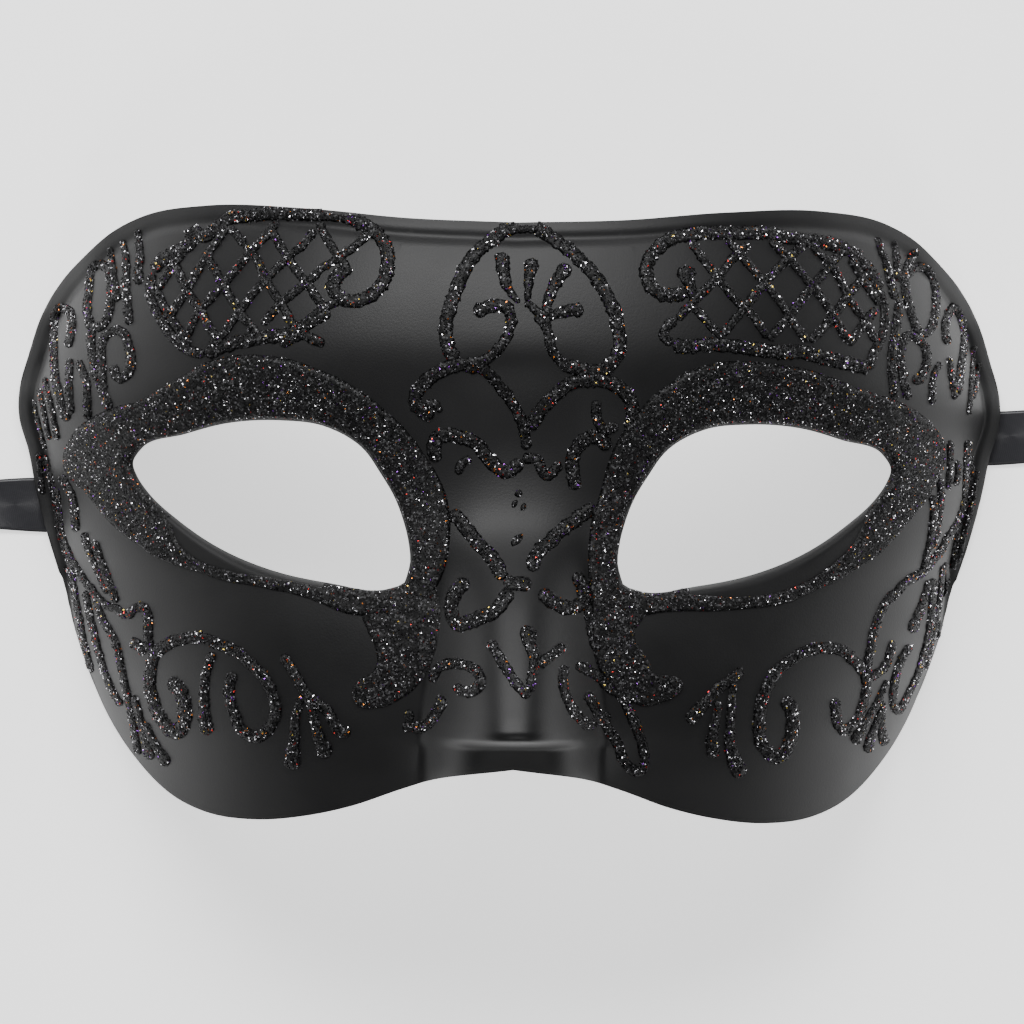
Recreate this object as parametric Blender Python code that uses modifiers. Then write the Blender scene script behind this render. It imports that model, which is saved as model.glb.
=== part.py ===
"""Masquerade half mask with a piped glitter ornament and a ribbon tie at each temple.

The mask lies face up on its side edges. X runs across the face, +Y to the forehead and +Z out of
its front. The origin is on the table, under the middle of the mask. Lengths are in metres.
"""

import math

import bmesh
import bpy
import numpy as np
from mathutils import Vector
from mathutils.bvhtree import BVHTree

# Overall sizes of the moulded shell
WIDTH = 0.180
HEIGHT = 0.108
DEPTH = 0.080
WALL = 0.0014
GAP = 0.0003

# Outward lip along the top edge and the temples. It fades in below the eyes and narrows to the top.
# The two stretches are shares of half the height.
SIDE_LIP = 0.0032
TOP_LIP = 0.0026
LIP_SLOPE = 0.9
LIP_FADES_IN = (-0.45, 0.0)
LIP_NARROWS = (0.70, 0.95)

# Eye holes, the turned-in edge round them and the hollow that they sit in
EYE_WIDTH = 0.0492
EYE_HEIGHT = 0.029
EYE_GAP = 0.036
EYE_RISE = 0.0015
EYE_LIP = 0.0019
EYE_TURN = 0.0016
SOCKET_DEPTH = 0.0035
SOCKET_ACROSS = 0.55
SOCKET_UP = 0.62

# Ribbon ties: the side, the height where each leaves, and its width at the free end as a share
RIBBON_WIDTH = 0.010
RIBBON_THICKNESS = 0.001
RIBBON_TAB = 0.016
RIBBON_BEND = 0.004
RIBBON_REACH = 0.016
RIBBONS = (
    ("ribbon_left", -1, 0.0010, 0.80),
    ("ribbon_right", 1, 0.0147, 1.00),
)

# Low arch in each side edge, over the ribbons
ARCH_CLEARANCE = 0.0016
ARCH_END = 0.008

# Glitter ornament, raised over the shell
GLITTER_RISE = 0.0007
BEAD_WIDTH = 0.0017

# The wall's profile across the face: 2 is an ellipse, more is squarer
WRAP_POWER = 2.3
WRAP_END = 0.975
NOSE_POWER = 2.5

# Horizontal sections, bottom to top. Up and half_width are shares of half the height and half the
# width, crown and nose are shares of the depth, and nose_half is a share of half the width.
SECTION_COLUMNS = ("up", "half_width", "crown", "nose", "nose_half")
SECTIONS = (
    (-1.00, 0.780, 0.630, 0.060, 0.18),
    (-0.90, 0.790, 0.665, 0.090, 0.18),
    (-0.82, 0.798, 0.692, 0.110, 0.18),
    (-0.79, 0.803, 0.700, 0.125, 0.18),
    (-0.765, 0.807, 0.706, 0.180, 0.18),
    (-0.735, 0.812, 0.714, 0.255, 0.185),
    (-0.70, 0.819, 0.722, 0.278, 0.185),
    (-0.66, 0.827, 0.727, 0.274, 0.185),
    (-0.60, 0.838, 0.731, 0.255, 0.18),
    (-0.494, 0.863, 0.735, 0.210, 0.175),
    (-0.393, 0.883, 0.735, 0.172, 0.165),
    (-0.257, 0.906, 0.730, 0.125, 0.155),
    (-0.054, 0.941, 0.720, 0.062, 0.145),
    (0.09, 0.963, 0.712, 0.018, 0.145),
    (0.20, 0.976, 0.715, -0.018, 0.145),
    (0.354, 0.999, 0.730, -0.020, 0.15),
    (0.513, 0.982, 0.738, 0.000, 0.16),
    (0.65, 0.956, 0.730, 0.000, 0.17),
    (0.77, 0.932, 0.712, 0.000, 0.18),
    (0.89, 0.908, 0.685, 0.000, 0.18),
    (1.00, 0.890, 0.655, 0.000, 0.18),
)

# The half outline above and below the straight side edges, from the top middle to the bottom
# middle: across and up, as shares of half the width and half the height
OUTLINE_TOP = (
    (0.000, 0.937),
    (0.211, 0.950),
    (0.407, 0.983),
    (0.603, 1.000),
    (0.728, 0.976),
    (0.793, 0.931),
    (0.860, 0.848),
    (0.909, 0.772),
)
OUTLINE_BOTTOM = (
    (0.794, -0.728),
    (0.747, -0.824),
    (0.653, -0.950),
    (0.592, -0.987),
    (0.498, -1.000),
    (0.391, -0.978),
    (0.310, -0.944),
    (0.211, -0.883),
    (0.132, -0.841),
    (0.000, -0.809),
)
SIDE_TOP = 0.66
SIDE_BOTTOM = -0.60
SIDE_EASE = 0.15
SIDE_POINTS = 12

# The eye hole from its inner corner: across is a share of its width, up of half its height
EYE_OUTLINE = (
    (0.000, -0.71),
    (0.006, -0.434),
    (0.026, -0.172),
    (0.057, 0.097),
    (0.102, 0.352),
    (0.171, 0.676),
    (0.305, 0.931),
    (0.463, 1.000),
    (0.663, 0.959),
    (0.807, 0.834),
    (0.965, 0.669),
    (1.000, 0.483),
    (0.984, 0.324),
    (0.947, 0.145),
    (0.825, -0.221),
    (0.675, -0.545),
    (0.498, -0.786),
    (0.287, -0.938),
    (0.075, -1.000),
    (0.018, -0.920),
)

# Places for the ornament: the point that a table counts from, and what its shares are shares of
FACE = ((0.0, 0.0), (WIDTH / 2, HEIGHT / 2))
EYE = ((EYE_GAP / 2, EYE_RISE), (EYE_WIDTH, EYE_HEIGHT / 2))
BRIDGE = ((0.0, EYE_RISE), (EYE_GAP / 2, EYE_HEIGHT / 2))

# The glitter band round each eye, by its outer edge in the eye's place. Wide is in bead widths and
# reaches at most to the eye's turned-in edge.
EYE_BAND = (
    (1.24, 0.82, 30.0),
    (1.07, 1.20, 30.0),
    (0.94, 1.29, 30.0),
    (0.77, 1.59, 30.0),
    (0.66, 1.73, 30.0),
    (0.56, 1.80, 30.0),
    (0.45, 1.79, 30.0),
    (0.34, 1.68, 30.0),
    (0.24, 1.49, 30.0),
    (0.15, 1.27, 30.0),
    (0.06, 1.03, 30.0),
    (-0.01, 0.77, 30.0),
    (-0.06, 0.43, 30.0),
    (-0.10, 0.01, 30.0),
    (-0.11, -0.41, 30.0),
    (-0.10, -0.83, 30.0),
    (-0.08, -1.22, 30.0),
    (0.02, -1.39, 30.0),
    (0.16, -1.35, 20.0),
    (0.29, -1.22, 1.5),
    (0.43, -1.10, 1.2),
    (0.56, -0.99, 1.1),
    (0.73, -0.86, 1.1),
    (0.89, -0.69, 1.3),
    (0.98, -0.52, 2.5),
    (1.07, -0.29, 20.0),
    (1.12, -0.06, 30.0),
    (1.20, 0.24, 30.0),
    (1.25, 0.55, 30.0),
)

# Piped strokes by the line along their middle: across and up in their place, wide in bead widths
BAND_TAIL = (
    (0.033, -1.50, 5.8),
    (0.051, -1.86, 5.3),
    (0.086, -2.16, 4.5),
    (0.157, -2.31, 2.9),
    (0.218, -2.21, 1.1),
)
NOSE_CROSS = (
    (0.62, -0.10, 1.0),
    (0.45, -0.33, 1.0),
    (0.26, -0.63, 1.0),
    (0.10, -0.90, 1.0),
)
CREST_EGG = (
    (0.000, 0.915, 1.0),
    (0.043, 0.893, 1.0),
    (0.075, 0.850, 1.0),
    (0.099, 0.806, 1.0),
    (0.120, 0.745, 1.0),
    (0.136, 0.677, 1.0),
    (0.147, 0.596, 1.0),
    (0.143, 0.530, 1.0),
    (0.118, 0.490, 1.0),
)
CREST_ARC = (
    (0.110, 0.455, 1.0),
    (0.155, 0.450, 1.0),
    (0.188, 0.413, 1.0),
    (0.198, 0.370, 1.0),
    (0.188, 0.335, 1.0),
)
CREST_DIAGONAL = (
    (0.085, 0.440, 1.0),
    (0.052, 0.386, 1.0),
    (0.020, 0.290, 1.0),
)
CHEEK_CURL_LEFT = (
    (0.681, -0.528, 1.0),
    (0.644, -0.603, 1.0),
    (0.663, -0.707, 1.0),
    (0.708, -0.603, 1.0),
    (0.698, -0.454, 1.0),
    (0.622, -0.395, 1.0),
    (0.537, -0.447, 1.0),
    (0.474, -0.561, 1.0),
    (0.470, -0.694, 1.0),
    (0.529, -0.707, 1.0),
    (0.560, -0.580, 1.0),
)
CHEEK_CURL_RIGHT = (
    (0.517, -0.603, 1.0),
    (0.542, -0.704, 1.0),
    (0.511, -0.808, 1.0),
    (0.478, -0.704, 1.0),
    (0.480, -0.613, 1.0),
    (0.501, -0.528, 1.0),
    (0.576, -0.431, 1.0),
    (0.648, -0.447, 1.0),
    (0.689, -0.551, 1.0),
    (0.669, -0.671, 1.0),
    (0.632, -0.658, 1.0),
)
# Each stroke's points and place, its side (0 runs over both), and its stations and columns
STROKES = (
    ("band_tail_left", BAND_TAIL, EYE, -1, 9, 5),
    ("band_tail_right", BAND_TAIL, EYE, 1, 9, 5),
    ("nose_cross_left", NOSE_CROSS, BRIDGE, -1, 7, 3),
    ("nose_cross_right", NOSE_CROSS, BRIDGE, 1, 7, 3),
    ("crest_egg", CREST_EGG, FACE, 0, 35, 3),
    ("crest_arc_left", CREST_ARC, FACE, -1, 9, 3),
    ("crest_arc_right", CREST_ARC, FACE, 1, 9, 3),
    ("crest_diagonal_left", CREST_DIAGONAL, FACE, -1, 6, 3),
    ("crest_diagonal_right", CREST_DIAGONAL, FACE, 1, 6, 3),
    ("cheek_curl_left", CHEEK_CURL_LEFT, FACE, -1, 32, 3),
    ("cheek_curl_right", CHEEK_CURL_RIGHT, FACE, 1, 32, 3),
)

# Mesh density. The strip over the nose and brow has rows at these shares of its height, closest
# at the tip of the nose, and is narrowest between the eyes.
OUTLINE_STATIONS = 50
RINGS = 8
BAND_STATIONS = 44
BAND_COLUMNS = 4
STRIP_COLUMNS = 7
STRIP_UP = (
    *(0.0, 0.014, 0.026, 0.038, 0.050, 0.065, 0.085, 0.115, 0.16),
    *(0.22, 0.255, 0.29, 0.33, 0.37, 0.45, 0.53, 0.61, 0.70, 0.79, 0.88),
)
STRIP_NARROW = 0.70
STRIP_WIDE = 0.98
STRIP_WAIST = 0.37
TOP_SEAM_LEAN = 0.4
BOTTOM_SEAM_LEAN = 0.6
TAB_POINTS = 5
BEND_POINTS = 6
FREE_POINTS = 8
RIBBON_COLUMNS = 5
CUT_SPARE = 0.0008


def smooth_rows(keys, values, at):
    """A cubic through the rows of a table, level beyond its ends."""
    keys = np.asarray(keys, float)
    values = np.asarray(values, float)
    slopes = np.gradient(values, keys)
    at = np.clip(at, keys[0], keys[-1])
    row = np.clip(np.searchsorted(keys, at) - 1, 0, len(keys) - 2)
    step = keys[row + 1] - keys[row]
    t = (at - keys[row]) / step
    start = (1 + 2 * t) * (1 - t) ** 2 * values[row] + t * (1 - t) ** 2 * step * slopes[row]
    end = t * t * (3 - 2 * t) * values[row + 1] + t * t * (t - 1) * step * slopes[row + 1]
    return start + end


def section(column, y):
    table = np.array(SECTIONS)
    return smooth_rows(table[:, 0], table[:, SECTION_COLUMNS.index(column)], y / (HEIGHT / 2))


def blend(low, high, at):
    """0 up to low and 1 from high on, smooth between."""
    t = np.clip((at - low) / (high - low), 0.0, 1.0)
    return t * t * (3 - 2 * t)


def lip_width(y):
    """The lip is widest at the temples and fades out below the eyes."""
    up = y / (HEIGHT / 2)
    return blend(*LIP_FADES_IN, up) * (SIDE_LIP + (TOP_LIP - SIDE_LIP) * blend(*LIP_NARROWS, up))


def arch_height(y):
    """How far the side edge stands off the table, over the ribbons."""
    leaves = [leave for _, _, leave, _ in RIBBONS]
    lowest, highest = min(leaves), max(leaves)
    level = (highest - lowest + RIBBON_WIDTH) / 2
    from_middle = np.abs(y - (lowest + highest) / 2)
    return (RIBBON_THICKNESS + ARCH_CLEARANCE) * (1 - blend(level, level + ARCH_END, from_middle))


def wrap(reach):
    """The wall across the face, 1 in the middle and 0 at its foot, where it is steep but not upright."""
    foot = math.sqrt(1 - WRAP_END**WRAP_POWER)
    return (np.sqrt(1 - (WRAP_END * reach) ** WRAP_POWER) - foot) / (1 - foot)


def shell_height(x, y):
    """The height of the outer face over the table, without its lips."""
    lip = lip_width(y)
    foot = LIP_SLOPE * lip + arch_height(y)
    half = section("half_width", y) * WIDTH / 2 - lip
    crown = section("crown", y) * DEPTH
    height = foot + (crown - foot) * wrap(np.clip(np.abs(x) / half, 0, 1))
    beside_nose = np.clip(np.abs(x) / (section("nose_half", y) * WIDTH / 2), 0, 1)
    height = height + section("nose", y) * DEPTH * (1 - beside_nose**NOSE_POWER) ** 2
    across = (np.abs(x) - (EYE_GAP + EYE_WIDTH) / 2) / (SOCKET_ACROSS * EYE_WIDTH)
    up = (y - EYE_RISE) / (SOCKET_UP * EYE_HEIGHT)
    return height - SOCKET_DEPTH * np.exp(-(across**2) - up**2)


def travelled(points):
    """The length of a line across and up, from its start to each of its points."""
    return np.concatenate([[0], np.cumsum(np.linalg.norm(np.diff(points[:, :2], axis=0), axis=1))])


def dense(points, closed=False, steps=24):
    """A smooth line through the points, as an array of close points."""
    points = np.asarray(points, float)
    if closed:
        points = np.vstack([points[-2:], points, points[:3]])
    run = travelled(points)
    at = np.concatenate([np.linspace(a, b, steps, endpoint=False) for a, b in zip(run, run[1:])])
    at = np.append(at, run[-1])
    line = np.stack([smooth_rows(run, points[:, i], at) for i in range(points.shape[1])], axis=1)
    if closed:
        line = line[2 * steps : -3 * steps]
    return line


def along(line, shares):
    """Points of a line at shares of its length."""
    run = travelled(line)
    at = np.asarray(shares) * run[-1]
    return np.stack([np.interp(at, run, line[:, i]) for i in range(line.shape[1])], axis=1)


def half_outline():
    """The outline of the right half, from the top middle round the temple to the bottom middle."""
    scale = np.array([WIDTH / 2, HEIGHT / 2])
    side_y = np.linspace(SIDE_TOP, SIDE_BOTTOM, SIDE_POINTS) * HEIGHT / 2
    side = np.stack([section("half_width", side_y) * WIDTH / 2, side_y], axis=1)
    return dense(np.vstack([np.array(OUTLINE_TOP) * scale, side, np.array(OUTLINE_BOTTOM) * scale]))


def eye_centre():
    return np.array([(EYE_GAP + EYE_WIDTH) / 2, EYE_RISE])


def placed(table, place):
    """A table's across and up as metres, with its other columns as they are."""
    origin, scale = place
    points = np.array(table)
    points[:, :2] = points[:, :2] * scale + origin
    return points


def round_eye(table, angle):
    """How far a closed line round the right eye is from its middle in each direction, and its width."""
    line = dense(placed(table, EYE), closed=True)
    from_middle = line[:, :2] - eye_centre()
    turn = np.arctan2(from_middle[:, 1], from_middle[:, 0])
    order = np.argsort(turn)
    reach = np.hypot(from_middle[:, 0], from_middle[:, 1])
    values = [reach, *line[:, 2:].T]
    return [np.interp(angle, turn[order], value[order], period=2 * math.pi) for value in values]


def eye_edge(angle):
    """The point of the right eye hole's edge in each direction from its middle."""
    reach = round_eye(EYE_OUTLINE, angle)[0]
    return eye_centre() + reach[:, None] * np.stack([np.cos(angle), np.sin(angle)], axis=1)


def rim_height(rim, crease, lip, on_side):
    """The height of the rim: on the table along each side, over the ribbon in its arch, and free above."""
    crease_height = shell_height(crease[:, 0], crease[:, 1])
    has_lip = blend(0.0, TOP_LIP, lip)
    with_lip = crease_height - LIP_SLOPE * lip
    free = has_lip * with_lip + (1 - has_lip) * shell_height(rim[:, 0], rim[:, 1])
    return free * (1 - on_side) + arch_height(rim[:, 1]) * on_side


def ring_rows():
    """The outer face round the right eye, as rings of points from the eye hole out to the rim."""
    edge_share = np.linspace(0, 1, OUTLINE_STATIONS)
    outline = half_outline()
    top_end, bottom_end = strip_side(1.0), strip_side(0.0)
    turn = np.argmax(outline[:, 0])
    first = np.searchsorted(outline[:turn, 0], top_end)
    last = len(outline) - np.searchsorted(outline[::-1, 0], bottom_end)
    ends = [(top_end, top_edge(top_end)), (bottom_end, bottom_edge(bottom_end))]
    outline = np.vstack([ends[:1], outline[first:last], ends[1:]])
    rim = along(outline, edge_share)
    tangent = np.gradient(rim, axis=0)
    inward = np.stack([tangent[:, 1], -tangent[:, 0]], axis=1)
    inward /= np.linalg.norm(inward, axis=1)[:, None]
    up = rim[:, 1] / (HEIGHT / 2)
    on_side = blend(SIDE_BOTTOM - SIDE_EASE, SIDE_BOTTOM, up)
    on_side = on_side * (1 - blend(SIDE_TOP, SIDE_TOP + SIDE_EASE, up))
    inward = inward * (1 - on_side)[:, None] + np.array([-1.0, 0.0]) * on_side[:, None]
    inward /= np.linalg.norm(inward, axis=1)[:, None]
    inward[0] = (TOP_SEAM_LEAN, -1)
    inward[-1] = (BOTTOM_SEAM_LEAN, 1)
    lip = lip_width(rim[:, 1])
    crease = rim + inward * np.maximum(lip, WALL)[:, None]
    height = rim_height(rim, crease, lip, on_side)
    trimmed = on_side * (1 - blend(0.0, CUT_SPARE, height))
    height = height - CUT_SPARE * trimmed
    rim = rim - inward * (CUT_SPARE / LIP_SLOPE * trimmed * blend(0.0, TOP_LIP, lip))[:, None]

    beside = strip_columns()[:, -1][1:-1]
    outer = np.vstack([rim, beside[:, :2]])
    from_eye = outer - eye_centre()
    angle = np.arctan2(from_eye[:, 1], from_eye[:, 0])
    edge = eye_edge(angle)
    outward = edge - eye_centre()
    outward /= np.linalg.norm(outward, axis=1)[:, None]
    lip_end = edge + outward * EYE_LIP
    inside = beside[:, :2] + (lip_end[len(rim) :] - beside[:, :2]) / (RINGS + 1)
    last_ring = np.vstack([crease, inside])
    rings = [np.column_stack([edge, shell_height(edge[:, 0], edge[:, 1]) - EYE_TURN])]
    eased = np.concatenate([np.ones(len(rim)), np.zeros(len(beside))])
    for t in np.linspace(0, 1, RINGS + 1):
        share = eased * math.sin(t * math.pi / 2) + (1 - eased) * t
        place = lip_end + (last_ring - lip_end) * share[:, None]
        rings.append(np.column_stack([place, shell_height(place[:, 0], place[:, 1])]))
    rings.append(np.vstack([np.column_stack([rim, height]), beside]))
    return np.array(rings)


def top_edge(x):
    line = half_outline()
    turn = np.argmax(line[:, 0])
    return np.interp(x, line[:turn, 0], line[:turn, 1])


def bottom_edge(x):
    line = half_outline()[::-1]
    turn = np.argmax(line[:, 0])
    return np.interp(x, line[:turn, 0], line[:turn, 1])


def strip_side(share):
    """Half the width of the strip over the nose and brow, narrowest between the eyes."""
    from_waist = np.minimum(1, ((share - STRIP_WAIST) / STRIP_WAIST) ** 2)
    return EYE_GAP / 2 * (STRIP_NARROW + (STRIP_WIDE - STRIP_NARROW) * from_waist)


def strip_columns():
    """The outer face over the nose and brow, as rows of points from the middle to the strip's side."""
    middle_height = top_edge(0.0) - bottom_edge(0.0)
    shares = np.array([*STRIP_UP, 1 - TOP_LIP / middle_height, 1.0])
    rows = []
    for share in shares:
        x = strip_side(share) * np.linspace(0, 1, STRIP_COLUMNS)
        y = bottom_edge(x) + (top_edge(x) - bottom_edge(x)) * share
        z = shell_height(x, y)
        if share == 1.0:
            z = shell_height(x, y - TOP_LIP) - LIP_SLOPE * TOP_LIP
        rows.append(np.column_stack([x, y, z]))
    return np.array(rows)


def material(name, colour, roughness, metallic=0.0):
    made = bpy.data.materials.new(name)
    made.use_nodes = True
    shader = made.node_tree.nodes["Principled BSDF"]
    shader.inputs["Base Color"].default_value = (*colour, 1.0)
    shader.inputs["Roughness"].default_value = roughness
    shader.inputs["Metallic"].default_value = metallic
    return made


def grid_object(name, grids, collection, finish):
    """A sheet of quads through grids of points, each with a flag for rows that close into rings."""
    sheet = bmesh.new()
    for rows, closed in grids:
        made = [[sheet.verts.new(point) for point in row] for row in rows]
        count = len(made[0])
        for low, high in zip(made, made[1:]):
            for i in range(count if closed else count - 1):
                j = (i + 1) % count
                sheet.faces.new((low[i], low[j], high[j], high[i]))
    bmesh.ops.remove_doubles(sheet, verts=sheet.verts, dist=0.00001)
    bmesh.ops.recalc_face_normals(sheet, faces=sheet.faces)
    if sum(face.normal.z * face.calc_area() for face in sheet.faces) < 0:
        bmesh.ops.reverse_faces(sheet, faces=sheet.faces)
    mesh = bpy.data.meshes.new(name)
    sheet.to_mesh(mesh)
    sheet.free()
    mesh.shade_smooth()
    mesh.materials.append(finish)
    made_object = bpy.data.objects.new(name, mesh)
    collection.objects.link(made_object)
    return made_object


def add_solidify(made, thickness, offset):
    solidify = made.modifiers.new("Wall", "SOLIDIFY")
    solidify.thickness = thickness
    solidify.offset = offset


def add_cut(made, cutter, name):
    cut = made.modifiers.new(name, "BOOLEAN")
    cut.operation = "DIFFERENCE"
    cut.solver = "EXACT"
    cut.object = cutter


def cutter_object(made, cutters):
    for collection in made.users_collection:
        collection.objects.unlink(made)
    cutters.objects.link(made)
    made.hide_render = True
    made.display_type = "WIRE"
    return made


def make_shell(parts, cutters, plastic):
    """The moulded shell: half its outer face, mirrored, given its wall and trimmed at the table."""
    grids = [(ring_rows(), True), (strip_columns(), False)]
    shell = grid_object("mask_shell", grids, parts, plastic)
    mirror = shell.modifiers.new("Other half", "MIRROR")
    mirror.merge_threshold = 0.00002
    mirror.use_clip = True
    add_solidify(shell, WALL, -1)

    below = 4 * WALL
    bpy.ops.mesh.primitive_cube_add(size=1, location=(0, 0, -below / 2))
    table = bpy.context.object
    table.name = "cut_below_table"
    table.scale = (1.5 * WIDTH, 1.5 * HEIGHT, below)
    add_cut(shell, cutter_object(table, cutters), "Trim at the table")
    return shell


def tree_of(made):
    """The finished solid of an object, for finding points on its faces."""
    bpy.context.view_layer.update()
    return BVHTree.FromObject(made, bpy.context.evaluated_depsgraph_get())


def make_ribbon(name, side, leave, end_width, shell_tree, parts, satin):
    """A flat tie: a tab glued inside the temple, bent out under the arch and laid on the table."""
    middle = RIBBON_THICKNESS / 2
    clear = GAP + middle
    end_x = WIDTH / 2 + RIBBON_REACH
    columns = []
    for share in np.linspace(-0.5, 0.5, RIBBON_COLUMNS):
        y = leave + share * RIBBON_WIDTH
        column = []
        for z in np.linspace(RIBBON_TAB, middle + RIBBON_BEND, TAB_POINTS):
            hit, normal, _, _ = shell_tree.ray_cast(Vector((0, y, z)), Vector((side, 0, 0)))
            column.append((abs(hit.x) - clear / abs(normal.x), y, z))
        turn_x = column[-1][0] + RIBBON_BEND
        for angle in np.linspace(0, math.pi / 2, BEND_POINTS)[1:]:
            x = turn_x - RIBBON_BEND * math.cos(angle)
            column.append((x, y, middle + RIBBON_BEND * (1 - math.sin(angle))))
        for t in np.linspace(0, 1, FREE_POINTS)[1:]:
            width_now = RIBBON_WIDTH * (1 + (end_width - 1) * blend(0, 1, t))
            column.append((turn_x + (end_x - turn_x) * t, leave + share * width_now, middle))
        columns.append([(side * x, y, z) for x, y, z in column])
    ribbon = grid_object(name, [(columns, False)], parts, satin)
    add_solidify(ribbon, RIBBON_THICKNESS, 0)


def on_shell(shell_tree, x, y):
    """The point over the shell's outer face at the clearance, straight under a view from the front."""
    hit, normal, _, _ = shell_tree.ray_cast(Vector((x, y, 2 * DEPTH)), Vector((0, 0, -1)))
    return hit + normal * GAP


def make_band(name, side, shell_tree, parts, glitter):
    """A sheet of glitter round one eye, between its outer edge and the eye's turned-in edge."""
    angle = np.linspace(0, 2 * math.pi, BAND_STATIONS, endpoint=False)
    outward = np.stack([np.cos(angle), np.sin(angle)], axis=1)
    reach, wide = round_eye(EYE_BAND, angle)
    lip_end = round_eye(EYE_OUTLINE, angle)[0] + EYE_LIP + GAP
    start = np.maximum(lip_end, reach - wide * BEAD_WIDTH)
    rows = []
    for t in np.linspace(0, 1, BAND_COLUMNS):
        place = eye_centre() + outward * (start + (reach - start) * t)[:, None]
        rows.append([on_shell(shell_tree, side * x, y) for x, y in place])
    band = grid_object(name, [(rows, True)], parts, glitter)
    add_solidify(band, GLITTER_RISE, 1)


def make_stroke(name, table, place, side, stations, columns, shell_tree, parts, glitter):
    """A piped stroke laid on the shell along its points, or along both halves where it has no side."""
    points = placed(table, place)
    if side:
        points[:, 0] *= side
    else:
        points = np.vstack([points[:0:-1] * (-1, 1, 1), points])
    line = along(dense(points), np.linspace(0, 1, stations))
    ahead = np.gradient(line[:, :2], axis=0)
    ahead /= np.linalg.norm(ahead, axis=1)[:, None]
    across = np.stack([ahead[:, 1], -ahead[:, 0]], axis=1) * (line[:, 2] * BEAD_WIDTH)[:, None]
    rows = []
    for share in np.linspace(-0.5, 0.5, columns):
        rows.append([on_shell(shell_tree, x, y) for x, y in line[:, :2] + across * share])
    stroke = grid_object(name, [(rows, False)], parts, glitter)
    add_solidify(stroke, GLITTER_RISE, 1)


def build():
    for old in list(bpy.data.objects):
        bpy.data.objects.remove(old)
    parts = bpy.data.collections.new("Masquerade mask")
    cutters = bpy.data.collections.new("Cutters")
    for collection in (parts, cutters):
        bpy.context.scene.collection.children.link(collection)
    plastic = material("matte black plastic", (0.012, 0.012, 0.013), 0.5)
    satin = material("black satin ribbon", (0.02, 0.02, 0.024), 0.4)
    glitter = material("black glitter glue", (0.06, 0.058, 0.062), 0.35, 0.6)
    shell = make_shell(parts, cutters, plastic)
    shell_tree = tree_of(shell)
    make_band("eye_band_left", -1, shell_tree, parts, glitter)
    make_band("eye_band_right", 1, shell_tree, parts, glitter)
    for name, table, place, side, stations, columns in STROKES:
        make_stroke(name, table, place, side, stations, columns, shell_tree, parts, glitter)
    for name, side, leave, end_width in RIBBONS:
        make_ribbon(name, side, leave, end_width, shell_tree, parts, satin)


build()
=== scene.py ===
import math

import bmesh
import bpy
import numpy as np
from mathutils import Matrix, Vector
from mathutils.bvhtree import BVHTree


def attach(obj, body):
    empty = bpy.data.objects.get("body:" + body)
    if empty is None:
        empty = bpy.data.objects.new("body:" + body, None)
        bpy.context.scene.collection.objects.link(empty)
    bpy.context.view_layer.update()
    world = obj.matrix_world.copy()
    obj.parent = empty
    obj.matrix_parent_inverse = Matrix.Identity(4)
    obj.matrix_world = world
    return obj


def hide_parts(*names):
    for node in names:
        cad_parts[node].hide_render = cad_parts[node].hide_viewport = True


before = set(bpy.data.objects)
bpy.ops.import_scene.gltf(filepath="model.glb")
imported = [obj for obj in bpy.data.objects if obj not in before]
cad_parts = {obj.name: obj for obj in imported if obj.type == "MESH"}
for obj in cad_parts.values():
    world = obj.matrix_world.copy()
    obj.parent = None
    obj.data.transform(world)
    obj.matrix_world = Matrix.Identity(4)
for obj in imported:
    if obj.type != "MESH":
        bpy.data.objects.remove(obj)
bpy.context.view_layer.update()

# The viewpoint. The mask lies face up and is seen from straight above its front, from a little
# under a metre. A point of the photograph is a pixel (across, down) in its 1024 pixel square.
PHOTO_SIZE = 1024
SENSOR_MM = 36.0
LENS_MM = 182.2
CAMERA_AT = Vector((-0.0165, 0.00045, 0.95))
LOOKS_AT = Vector((0.00055, 0.00045, 0.0))
CAMERA_ROLL = math.radians(0.5)

camera_data = bpy.data.cameras.new("camera")
camera_data.lens = LENS_MM
camera_data.sensor_width = SENSOR_MM
camera = bpy.data.objects.new("camera", camera_data)
bpy.context.scene.collection.objects.link(camera)
ahead = (LOOKS_AT - CAMERA_AT).normalized()
right = ahead.cross(Vector((0, 1, 0))).normalized()
upward = right.cross(ahead)
rolled_right = right * math.cos(CAMERA_ROLL) + upward * math.sin(CAMERA_ROLL)
rolled_up = upward * math.cos(CAMERA_ROLL) - right * math.sin(CAMERA_ROLL)
turn = Matrix((rolled_right, rolled_up, -ahead)).transposed()
camera.matrix_world = Matrix.Translation(CAMERA_AT) @ turn.to_4x4()
bpy.context.scene.camera = camera
PIXELS_PER_RADIAN = PHOTO_SIZE * LENS_MM / SENSOR_MM


def through_pixel(across, down):
    """The direction of the view through a pixel of the photograph."""
    side = (across - PHOTO_SIZE / 2) / PIXELS_PER_RADIAN
    rise = (PHOTO_SIZE / 2 - down) / PIXELS_PER_RADIAN
    return (ahead + rolled_right * side + rolled_up * rise).normalized()


def plain_material(name, colour, roughness, metallic=0.0):
    """A Principled material, with its node tree and shader for the section that finishes it."""
    made = bpy.data.materials.new(name)
    made.use_nodes = True
    shader = made.node_tree.nodes["Principled BSDF"]
    shader.inputs["Base Color"].default_value = (*colour, 1.0)
    shader.inputs["Roughness"].default_value = roughness
    shader.inputs["Metallic"].default_value = metallic
    return made, made.node_tree, shader


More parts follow.
